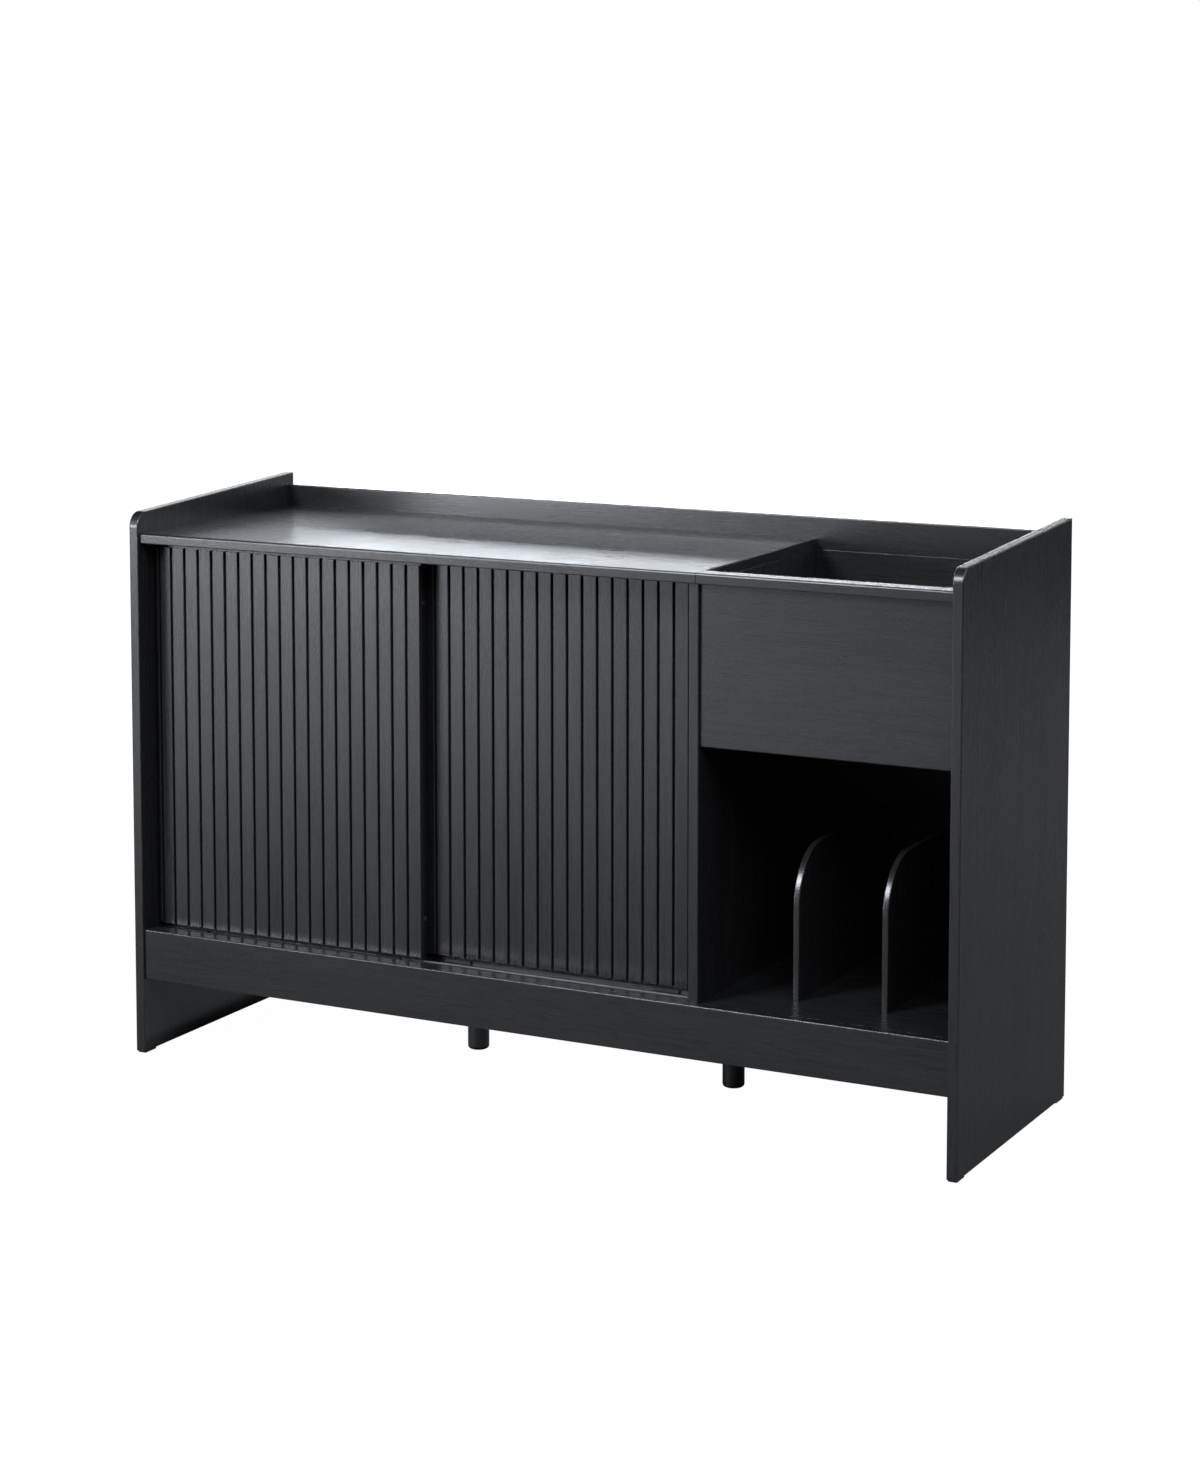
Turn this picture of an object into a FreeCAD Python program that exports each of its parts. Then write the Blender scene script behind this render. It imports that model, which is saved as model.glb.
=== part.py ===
import FreeCAD, Part
import Sketcher
import os
import re

# Record cabinet: a low cabinet with two sliding slatted doors on the left, an open record bin over a
# divided record cubby on the right, and a gallery rail along the back of its top.
# Millimetres. +X to the right, +Y to the back, +Z up, origin on the floor under the middle.

os.makedirs("parts", exist_ok=True)
doc = FreeCAD.newDocument("record_cabinet")

SIZES = {
    # carcass
    "overall_length": 1300,
    "overall_depth": 420,
    "side_rise_front": 30,
    "side_rise_back": 50,
    "side_corner_radius": 22,
    "board": 15,
    "bottom_board": 18,
    "arris": 1.5,
    "top_arris": 3,
    "top_recess": 5,
    "apron_recess": 4,
    "divider_recess": 14,
    "top_height": 778,
    "shelf_height": 187,
    "apron_height": 75,
    "gallery_height": 32,
    # record bin and record cubby
    "cubby_width": 367,
    "bin_underside": 540,
    "bin_panel_recess": 19,
    "cap_rail_depth": 29,
    "record_divider_board": 9,
    "record_slot_width": 121,
    "record_divider_height": 209,
    "record_divider_setback": 90,
    "record_divider_radius": 80,
    # back panels in their grooves
    "back_board": 3,
    "back_inset": 6,
    "groove_reach": 3,
    "groove_play": 0.3,
    "outlet_diameter": 60,
    "outlet_height": 250,
    "grommet_flange": 5,
    "grommet_wall": 1.5,
    # shelves behind the doors
    "shelf_level": 470,
    "shelf_play": 1,
    "shelf_setback": 4,
    "partition_clearance": 1,
    "shelf_pin_diameter": 5,
    "shelf_pin_bore": 8,
    "shelf_pin_reach": 8,
    "shelf_pin_inset": 30,
    # sliding doors
    "door_side_gap": 2.5,
    "door_overlap": 19,
    "door_board": 12,
    "door_setback": 40,
    "door_step": 27.5,
    "door_drop": 2,
    "door_top_gap": 3,
    "slat_width": 20.3,
    "slat_gap": 3.3,
    "slat_thickness": 5.5,
    "slat_end": 5.5,
    "edge_strip_width": 5,
    # door tracks and what runs in them
    "track_setback": 30,
    "track_width": 66,
    "bottom_track_recess": 9,
    "track_base": 1.2,
    "fin_width": 2.5,
    "fin_height": 4.8,
    "top_track_recess": 7,
    "guide_groove_depth": 5.5,
    "guide_pin_diameter": 6,
    "guide_pin_play": 0.5,
    "guide_pin_bore": 15,
    "guide_collar_diameter": 9,
    "guide_collar_height": 1,
    "shoe_length": 40,
    "shoe_width": 10,
    "shoe_play": 0.4,
    "shoe_tongue_width": 6,
    "shoe_tongue_height": 14,
    "shoe_screw_offset": 10,
    "guide_inset": 60,
    "buffer_diameter": 8,
    "buffer_thickness": 2,
    "buffer_inset": 60,
    # centre legs and glides
    "leg_diameter": 32,
    "leg_spacing": 420,
    "leg_offset": 45,
    "leg_plate_size": 62,
    "leg_plate_thickness": 3,
    "foot_height": 12,
    "foot_rounding": 5,
    "foot_stem_diameter": 10,
    "foot_stem_height": 25,
    "glide_width": 13,
    "glide_length": 28,
    "glide_height": 3,
    "glide_inset": 3,
    # fastenings
    "dowel_diameter": 8,
    "face_bore": 9,
    "edge_bore": 20,
    "cam_diameter": 15,
    "cam_bore": 12,
    "cam_distance": 24,
    "cam_bolt_diameter": 5,
    "cam_head_diameter": 7,
    "cam_head_length": 3,
    "cam_front": 120,
    "cam_back": 50,
    "dowel_front": 165,
    "dowel_back": 95,
    "base_screw_diameter": 5,
    "base_screw_head": 9,
    "base_screw_head_height": 3,
    "base_screw_hold": 30,
    "small_screw_diameter": 3.5,
    "small_screw_head": 7,
    "small_screw_head_height": 1.5,
    "small_screw_hold": 10,
    "block_size": 22,
    "block_length": 32,
}

sheet = doc.addObject("Spreadsheet::Sheet", "Sizes")
for row, (alias, value) in enumerate(SIZES.items(), start=1):
    sheet.set(f"A{row}", alias)
    sheet.set(f"B{row}", str(value))
    sheet.setAlias(f"B{row}", alias)
doc.recompute()


def size(alias):
    return float(sheet.get(alias))


def linked(text):
    """Turn bare size names in an expression into references to the sheet."""

    def reference(word):
        alias = word.group(0)
        return "Sizes." + alias if alias in SIZES else alias

    return re.sub(r"[a-z_]+", reference, text)


def bind(thing, prop, text):
    thing.setExpression(prop, linked(text))


# Planes that many pieces share
FRONT = "(-overall_depth / 2)"
BACK = "(overall_depth / 2)"
TOP_FRONT = "(top_recess - overall_depth / 2)"
APRON_FRONT = "(apron_recess - overall_depth / 2)"
APRON_BACK = f"({APRON_FRONT} + board)"
DIVIDER_PANEL_FRONT = "(divider_recess - overall_depth / 2)"
LEFT = "(board - overall_length / 2)"
RIGHT = "(overall_length / 2 - board)"
INNER_LENGTH = "(overall_length - 2 * board)"
CUBBY_LEFT = f"({RIGHT} - cubby_width)"
BAY_RIGHT = f"({CUBBY_LEFT} - board)"
BAY_WIDTH = f"({BAY_RIGHT} - {LEFT})"
PARTITION_LEFT = f"(({LEFT} + {BAY_RIGHT} - board) / 2)"
PARTITION_RIGHT = f"({PARTITION_LEFT} + board)"
TOP_UNDERSIDE = "(top_height - board)"
BASE_UNDERSIDE = "(shelf_height - bottom_board)"
BAY_HEIGHT = f"({TOP_UNDERSIDE} - shelf_height)"
BACK_FACE = f"({BACK} - back_inset - back_board)"
TRACK_FRONT = f"({FRONT} + track_setback)"
TRACK_BACK = f"({TRACK_FRONT} + track_width)"
BIN_PANEL_FRONT = f"({FRONT} + bin_panel_recess)"
BIN_PANEL_BACK = f"({BIN_PANEL_FRONT} + board)"
REAR_BOARD_FRONT = f"({BACK} - board)"
BIN_FLOOR = "(bin_underside + board)"

AXES = {"x": FreeCAD.Vector(1, 0, 0), "y": FreeCAD.Vector(0, 1, 0), "z": FreeCAD.Vector(0, 0, 1)}
TOLERANCE = 1e-4

nodes = {}
solid_counts = {}
cutters = {}


def place(thing, corner):
    for axis, text in zip("xyz", corner):
        bind(thing, f"Placement.Base.{axis}", text)


def offset(point, direction, distance):
    """The point moved by distance along a direction such as "+x" or "-z"."""
    moved = list(point)
    index = "xyz".index(direction[1])
    moved[index] = f"({moved[index]} {direction[0]} ({distance}))"
    return moved


def box(name, corner, lengths):
    solid = doc.addObject("Part::Box", name)
    for prop, text in zip(("Length", "Width", "Height"), lengths):
        bind(solid, prop, text)
    place(solid, corner)
    return solid


def rod(name, start, direction, diameter, length):
    """A cylinder from start along a direction such as "+x" or "-z"."""
    solid = doc.addObject("Part::Cylinder", name)
    bind(solid, "Radius", f"({diameter}) / 2")
    bind(solid, "Height", length)
    towards = AXES[direction[1]] * (1 if direction[0] == "+" else -1)
    solid.Placement = FreeCAD.Placement(FreeCAD.Vector(), FreeCAD.Rotation(AXES["z"], towards))
    place(solid, start)
    return solid


def joined(name, solids):
    fusion = doc.addObject("Part::MultiFuse", name)
    fusion.Shapes = solids
    return fusion


def group(name, solids):
    compound = doc.addObject("Part::Compound", name)
    compound.Links = solids
    return compound


def keep_group(node, solids):
    """Make one node of several separate solids."""
    nodes[node] = group(node + "_group", solids)
    solid_counts[node] = len(solids)


def cut(name, base, tools):
    result = doc.addObject("Part::Cut", name)
    result.Base = base
    result.Tool = group(name + "_cutters", tools)
    return result


def let_into(node, *tools):
    """Remember that a piece is cut by these tools."""
    cutters.setdefault(node, []).extend(tools)


def origin_plane(body, role):
    return next(item for item in body.Origin.OriginFeatures if item.Role == role)


def outline_sketch(body, name, role, corners, closing):
    """A closed sketch of straight lines whose corners are later held by the named constraints in closing."""
    sketch = body.newObject("Sketcher::SketchObject", name)
    sketch.AttachmentSupport = [(origin_plane(body, role), "")]
    sketch.MapMode = "FlatFace"
    points = [FreeCAD.Vector(x, y, 0) for x, y in corners]
    count = len(points)
    for index in range(count):
        sketch.addGeometry(Part.LineSegment(points[index], points[(index + 1) % count]), False)
    for index in range(count):
        sketch.addConstraint(Sketcher.Constraint("Coincident", index, 2, (index + 1) % count, 1))
    sketch.addConstraint(Sketcher.Constraint("Coincident", 0, 1, -1, 1))
    sketch.addConstraint(Sketcher.Constraint("Horizontal", 0))
    sketch.addConstraint(Sketcher.Constraint("Vertical", 1))
    sketch.addConstraint(Sketcher.Constraint("Vertical", 3))
    for label, constraint, text in closing:
        number = sketch.addConstraint(constraint)
        sketch.renameConstraint(number, label)
        bind(sketch, f"Constraints.{label}", text)
    return sketch


def pad(body, sketch, length, turned):
    feature = body.newObject("PartDesign::Pad", sketch.Name + "_pad")
    feature.Profile = sketch
    feature.Reversed = turned
    bind(feature, "Length", length)
    sketch.Visibility = False
    doc.recompute()
    return feature


def edges_between(shape, first, second):
    """Names of the edges that lie on two sides of a shape's box, such as "-y" and "+z"."""
    bounds = shape.BoundBox
    names = []
    for number, edge in enumerate(shape.Edges, start=1):
        on_both = True
        for side in (first, second):
            limit = getattr(bounds, side[1].upper() + ("Min" if side[0] == "-" else "Max"))
            places = [getattr(v.Point, side[1]) for v in edge.Vertexes]
            on_both = on_both and all(abs(place_on - limit) < TOLERANCE for place_on in places)
        if on_both:
            names.append(f"Edge{number}")
    return names


def rounded(body, base, pairs, radius):
    """Round the edges where the named pairs of sides of a body meet."""
    names = []
    for first, second in pairs:
        names += edges_between(base.Shape, first, second)
    fillet = body.newObject("PartDesign::Fillet", base.Name + "_rounded")
    fillet.Base = (base, names)
    bind(fillet, "Radius", radius)
    doc.recompute()
    return fillet


SKETCH_PLANES = {
    "x": ("YZ_Plane", "y", "z", False),
    "y": ("XZ_Plane", "x", "z", True),
    "z": ("XY_Plane", "x", "y", False),
}


def panel(name, corner, lengths, thin, eased=(), broad=()):
    """A board padded along its thin axis. Eased edges get the small arris, broad ones the large."""
    body = doc.addObject("PartDesign::Body", name + "_board")
    role, across, up, turned = SKETCH_PLANES[thin]
    along = dict(zip("xyz", lengths))
    width, height = 100, 50
    corners = [(0, 0), (width, 0), (width, height), (0, height)]
    closing = [
        ("span", Sketcher.Constraint("DistanceX", 0, 1, 0, 2, width), along[across]),
        ("rise", Sketcher.Constraint("DistanceY", 1, 1, 1, 2, height), along[up]),
        ("fall", Sketcher.Constraint("DistanceY", 3, 2, 3, 1, height), along[up]),
    ]
    sketch = outline_sketch(body, name + "_outline", role, corners, closing)
    tip = pad(body, sketch, along[thin], turned)
    if broad:
        tip = rounded(body, tip, broad, "top_arris")
    if eased:
        rounded(body, tip, eased, "arris")
    place(body, corner)
    nodes[name] = body
    return body


FRONT_EDGES_FLAT = [("-y", "+z"), ("-y", "-z")]
FRONT_EDGES_UPRIGHT = [("-y", "-x"), ("-y", "+x")]


# ---------------------------------------------------------------- side panels
def side_panel(name, left_face):
    """The end board, also the end foot. Its top edge climbs to the back and its front corner is rounded."""
    body = doc.addObject("PartDesign::Body", name + "_board")
    depth, front, back = 400, 700, 720
    corners = [(0, 0), (depth, 0), (depth, back), (0, front)]
    closing = [
        ("depth", Sketcher.Constraint("DistanceX", 0, 1, 0, 2, depth), "overall_depth"),
        ("back", Sketcher.Constraint("DistanceY", 1, 1, 1, 2, back),
         "top_height + side_rise_back - glide_height"),
        ("front", Sketcher.Constraint("DistanceY", 3, 2, 3, 1, front),
         "top_height + side_rise_front - glide_height"),
    ]
    sketch = outline_sketch(body, name + "_outline", "YZ_Plane", corners, closing)
    tip = pad(body, sketch, "board", False)
    front_top = max(
        (number for number, edge in enumerate(tip.Shape.Edges, start=1)
         if all(abs(v.Point.y) < TOLERANCE and v.Point.z > 1 for v in edge.Vertexes)),
    )
    corner = body.newObject("PartDesign::Fillet", name + "_corner")
    corner.Base = (tip, [f"Edge{front_top}"])
    bind(corner, "Radius", "side_corner_radius")
    doc.recompute()
    floor_z = corner.Shape.BoundBox.ZMin
    outline = []
    for number, edge in enumerate(corner.Shape.Edges, start=1):
        across = max(v.Point.x for v in edge.Vertexes) - min(v.Point.x for v in edge.Vertexes)
        along_floor = all(abs(v.Point.z - floor_z) < TOLERANCE for v in edge.Vertexes)
        if across < TOLERANCE and not along_floor:
            outline.append(f"Edge{number}")
    eased = body.newObject("PartDesign::Fillet", name + "_eased")
    eased.Base = (corner, outline)
    bind(eased, "Radius", "arris")
    place(body, (left_face, FRONT, "glide_height"))
    nodes[name] = body


side_panel("side_panel_left", "-overall_length / 2")
side_panel("side_panel_right", RIGHT)

# ---------------------------------------------------------------- carcass boards
panel("top_panel", (LEFT, TOP_FRONT, TOP_UNDERSIDE),
      (f"{CUBBY_LEFT} - {LEFT}", f"{REAR_BOARD_FRONT} - {TOP_FRONT}", "board"), "z",
      eased=[("-y", "-z"), ("+x", "+z")], broad=[("-y", "+z")])
panel("divider_panel", (BAY_RIGHT, DIVIDER_PANEL_FRONT, "shelf_height"),
      ("board", f"{BACK} - {DIVIDER_PANEL_FRONT}", BAY_HEIGHT), "x",
      eased=FRONT_EDGES_UPRIGHT)
panel("bottom_panel", (LEFT, APRON_BACK, BASE_UNDERSIDE),
      (INNER_LENGTH, f"{BACK} - {APRON_BACK}", "bottom_board"), "z")
panel("front_apron", (LEFT, APRON_FRONT, "shelf_height - apron_height"),
      (INNER_LENGTH, "board", "apron_height"), "y",
      eased=FRONT_EDGES_FLAT)
panel("rear_apron", (LEFT, REAR_BOARD_FRONT, "shelf_height - apron_height"),
      (INNER_LENGTH, "board", "apron_height - bottom_board"), "y", eased=[("+y", "-z"), ("-y", "-z")])
panel("gallery_rail", (LEFT, REAR_BOARD_FRONT, TOP_UNDERSIDE),
      (INNER_LENGTH, "board", "board + gallery_height"), "y",
      eased=[("-y", "+z"), ("+y", "+z")])
panel("inner_partition", (PARTITION_LEFT, f"{TRACK_BACK} + partition_clearance", "shelf_height"),
      ("board", f"{BACK} - {TRACK_BACK} - partition_clearance", BAY_HEIGHT), "x", eased=FRONT_EDGES_UPRIGHT)

# ---------------------------------------------------------------- record bin
panel("bin_cap_rail", (CUBBY_LEFT, TOP_FRONT, TOP_UNDERSIDE), ("cubby_width", "cap_rail_depth", "board"), "z",
      eased=[("-y", "-z"), ("+y", "+z")], broad=[("-y", "+z")])
panel("bin_front_panel", (CUBBY_LEFT, BIN_PANEL_FRONT, "bin_underside"),
      ("cubby_width", "board", f"{TOP_UNDERSIDE} - bin_underside"), "y", eased=[("-y", "-z"), ("+y", "-z")])
panel("bin_floor", (CUBBY_LEFT, BIN_PANEL_BACK, "bin_underside"),
      ("cubby_width", f"{REAR_BOARD_FRONT} - {BIN_PANEL_BACK}", "board"), "z")
panel("bin_back_panel", (CUBBY_LEFT, REAR_BOARD_FRONT, "bin_underside"),
      ("cubby_width", "board", f"{TOP_UNDERSIDE} - bin_underside"), "y")

# ---------------------------------------------------------------- record dividers in the cubby
DIVIDER_FRONT = f"({FRONT} + record_divider_setback)"
DIVIDER_RIGHT_X = f"({RIGHT} - record_slot_width - record_divider_board)"
DIVIDER_LEFT_X = f"({DIVIDER_RIGHT_X} - record_slot_width - record_divider_board)"


def record_divider(name, left_face):
    """A low upright between two record slots, with its top front corner swept back in a large round."""
    body = panel(name, (left_face, DIVIDER_FRONT, "shelf_height"),
                 ("record_divider_board", f"{BACK_FACE} - {DIVIDER_FRONT}", "record_divider_height"), "x")
    tip = body.Tip
    corner = rounded(body, tip, [("-y", "+z")], "record_divider_radius")
    eased = body.newObject("PartDesign::Fillet", name + "_eased")
    names = []
    for number, edge in enumerate(corner.Shape.Edges, start=1):
        xs = [v.Point.x for v in edge.Vertexes]
        on_floor = all(abs(v.Point.z) < TOLERANCE for v in edge.Vertexes)
        at_back = all(abs(v.Point.y - corner.Shape.BoundBox.YMax) < TOLERANCE for v in edge.Vertexes)
        if max(xs) - min(xs) < TOLERANCE and not on_floor and not at_back:
            names.append(f"Edge{number}")
    eased.Base = (corner, names)
    bind(eased, "Radius", "arris")


record_divider("record_divider_left", DIVIDER_LEFT_X)
record_divider("record_divider_right", DIVIDER_RIGHT_X)

# ---------------------------------------------------------------- back panels and their grooves
GROOVE_FRONT = f"({BACK_FACE} - groove_play / 2)"
GROOVE_WIDTH = "(back_board + groove_play)"
ENTRY = "(groove_reach - groove_play)"


def back_panel(name, left, right, top, surrounds):
    """A thin back held in a groove on all four sides. surrounds names the boards that are grooved."""
    back = box(name + "_sheet", (f"{left} - {ENTRY}", BACK_FACE, f"shelf_height - {ENTRY}"),
               (f"{right} - {left} + 2 * {ENTRY}", "back_board", f"{top} - shelf_height + 2 * {ENTRY}"))
    groove = box(name + "_groove", (f"{left} - groove_reach", GROOVE_FRONT, "shelf_height - groove_reach"),
                 (f"{right} - {left} + 2 * groove_reach", GROOVE_WIDTH,
                  f"{top} - shelf_height + 2 * groove_reach"))
    nodes[name] = back
    for board_name in surrounds:
        let_into(board_name, groove)


back_panel("back_panel_left", LEFT, PARTITION_LEFT, TOP_UNDERSIDE,
           ("side_panel_left", "inner_partition", "gallery_rail", "bottom_panel"))
back_panel("back_panel_middle", PARTITION_RIGHT, BAY_RIGHT, TOP_UNDERSIDE,
           ("inner_partition", "divider_panel", "gallery_rail", "bottom_panel"))
back_panel("back_panel_cubby", CUBBY_LEFT, RIGHT, "bin_underside",
           ("divider_panel", "side_panel_right", "bin_back_panel", "bottom_panel"))

grommets = []
for name, left, right in (("left", LEFT, PARTITION_LEFT), ("middle", PARTITION_RIGHT, BAY_RIGHT)):
    centre_x = f"(({left} + {right}) / 2)"
    hole = rod(f"outlet_{name}", (centre_x, f"{BACK_FACE} - board", "outlet_height"), "+y", "outlet_diameter",
               "2 * board")
    let_into(f"back_panel_{name}", hole)
    sleeve = rod(f"grommet_sleeve_{name}", (centre_x, f"{BACK_FACE} - grommet_wall", "outlet_height"), "+y",
                 "outlet_diameter", "back_board + 2 * grommet_wall")
    flange = rod(f"grommet_flange_{name}", (centre_x, f"{BACK_FACE} + back_board", "outlet_height"), "+y",
                 "outlet_diameter + 2 * grommet_flange", "grommet_wall")
    bore = rod(f"grommet_bore_{name}", (centre_x, f"{BACK_FACE} - board", "outlet_height"), "+y",
               "outlet_diameter - 2 * grommet_wall", "2 * board")
    grommets.append(cut(f"grommet_{name}", joined(f"grommet_blank_{name}", [sleeve, flange]), [bore]))
keep_group("cable_grommets", grommets)

# ---------------------------------------------------------------- shelves behind the doors
SHELF_FRONT = f"({TRACK_BACK} + shelf_setback)"


def shelf(name, left, right):
    panel(name, (f"{left} + shelf_play", SHELF_FRONT, "shelf_level"),
          (f"{right} - {left} - 2 * shelf_play", f"{BACK_FACE} - {SHELF_FRONT} - shelf_play", "board"), "z",
          eased=FRONT_EDGES_FLAT)


shelf("shelf_left", LEFT, PARTITION_LEFT)
shelf("shelf_right", PARTITION_RIGHT, BAY_RIGHT)

pins = []
PIN_Z = "(shelf_level - shelf_pin_diameter / 2)"
for wall, face, direction in (("side_panel_left", LEFT, "+x"), ("inner_partition", PARTITION_LEFT, "-x"),
                              ("inner_partition", PARTITION_RIGHT, "+x"), ("divider_panel", BAY_RIGHT, "-x")):
    into_wall = ("-" if direction[0] == "+" else "+") + "x"
    for depth in (f"{SHELF_FRONT} + shelf_pin_inset", f"{BACK_FACE} - shelf_pin_inset"):
        start = offset((face, depth, PIN_Z), into_wall, "shelf_pin_bore")
        pin = rod(f"shelf_pin_{len(pins)}", start, direction, "shelf_pin_diameter",
                  "shelf_pin_bore + shelf_pin_reach")
        let_into(wall, pin)
        pins.append(pin)
keep_group("shelf_pins", pins)

# ---------------------------------------------------------------- door tracks
DOOR_WIDTH = f"(({BAY_WIDTH} - 2 * door_side_gap + door_overlap) / 2)"
FRONT_LANE = f"({FRONT} + door_setback + slat_thickness + door_board / 2)"
REAR_LANE = f"({FRONT_LANE} + door_step)"
TRACK_FLOOR = "(shelf_height - bottom_track_recess)"
FIN_BASE = f"({TRACK_FLOOR} + track_base)"
GROOVE_ROOF = f"({TOP_UNDERSIDE} + guide_groove_depth)"
GUIDE_GROOVE = "(guide_pin_diameter + 2 * guide_pin_play)"

let_into("bottom_panel", box("bottom_track_seat", (LEFT, TRACK_FRONT, TRACK_FLOOR),
                             (BAY_WIDTH, "track_width", "bottom_track_recess")))
let_into("top_panel", box("top_track_seat", (LEFT, TRACK_FRONT, TOP_UNDERSIDE),
                          (BAY_WIDTH, "track_width", "top_track_recess")))

strip = box("bottom_track_strip", (LEFT, TRACK_FRONT, TRACK_FLOOR),
            (BAY_WIDTH, "track_width", "track_base"))
fins = [box(f"bottom_track_fin_{name}", (LEFT, f"{lane} - fin_width / 2", TRACK_FLOOR),
            (BAY_WIDTH, "fin_width", "track_base + fin_height"))
        for name, lane in (("front", FRONT_LANE), ("rear", REAR_LANE))]
nodes["bottom_track"] = joined("bottom_track_profile", [strip] + fins)

bar = box("top_track_bar", (LEFT, TRACK_FRONT, TOP_UNDERSIDE),
          (BAY_WIDTH, "track_width", "top_track_recess"))
channels = [box(f"top_track_channel_{name}", (LEFT, f"{lane} - {GUIDE_GROOVE} / 2", TOP_UNDERSIDE),
                (BAY_WIDTH, GUIDE_GROOVE, "guide_groove_depth"))
            for name, lane in (("front", FRONT_LANE), ("rear", REAR_LANE))]
nodes["top_track"] = cut("top_track_profile", bar, channels)


def small_screw(name, head_face, direction, hold, *cut_nodes):
    """A small screw whose flat head ends flush at head_face and whose shank runs along direction."""
    shank = rod(name + "_shank", head_face, direction, "small_screw_diameter", hold)
    head = rod(name + "_head", head_face, direction, "small_screw_head", "small_screw_head_height")
    screw = joined(name, [shank, head])
    for node in cut_nodes:
        let_into(node, screw)
    return screw


TRACK_SCREWS = 4
track_screws = []
BETWEEN_LANES = f"(({FRONT_LANE} + {REAR_LANE}) / 2)"
for index in range(TRACK_SCREWS):
    along = f"({LEFT} + {BAY_WIDTH} * {2 * index + 1} / {2 * TRACK_SCREWS})"
    track_screws.append(small_screw(f"bottom_track_screw_{index}", (along, BETWEEN_LANES, FIN_BASE), "-z",
                                    "track_base + small_screw_hold / 2", "bottom_track", "bottom_panel"))
    track_screws.append(small_screw(f"top_track_screw_{index}", (along, BETWEEN_LANES, TOP_UNDERSIDE), "+z",
                                    "top_track_recess + small_screw_hold / 2", "top_track", "top_panel"))
keep_group("track_screws", track_screws)

# ---------------------------------------------------------------- sliding doors
DOOR_BOTTOM = "(shelf_height - door_drop)"
DOOR_TOP = f"({TOP_UNDERSIDE} - door_top_gap)"
SLAT_BOTTOM = f"({DOOR_BOTTOM} + slat_end)"
SLAT_HEIGHT = f"({DOOR_TOP} - {DOOR_BOTTOM} - 2 * slat_end)"

bay_width = size("overall_length") - 3 * size("board") - size("cubby_width")
door_width = (bay_width - 2 * size("door_side_gap") + size("door_overlap")) / 2
slat_pitch = size("slat_width") + size("slat_gap")
full_slats = int((door_width - size("edge_strip_width") - size("slat_gap")) // slat_pitch)


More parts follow.
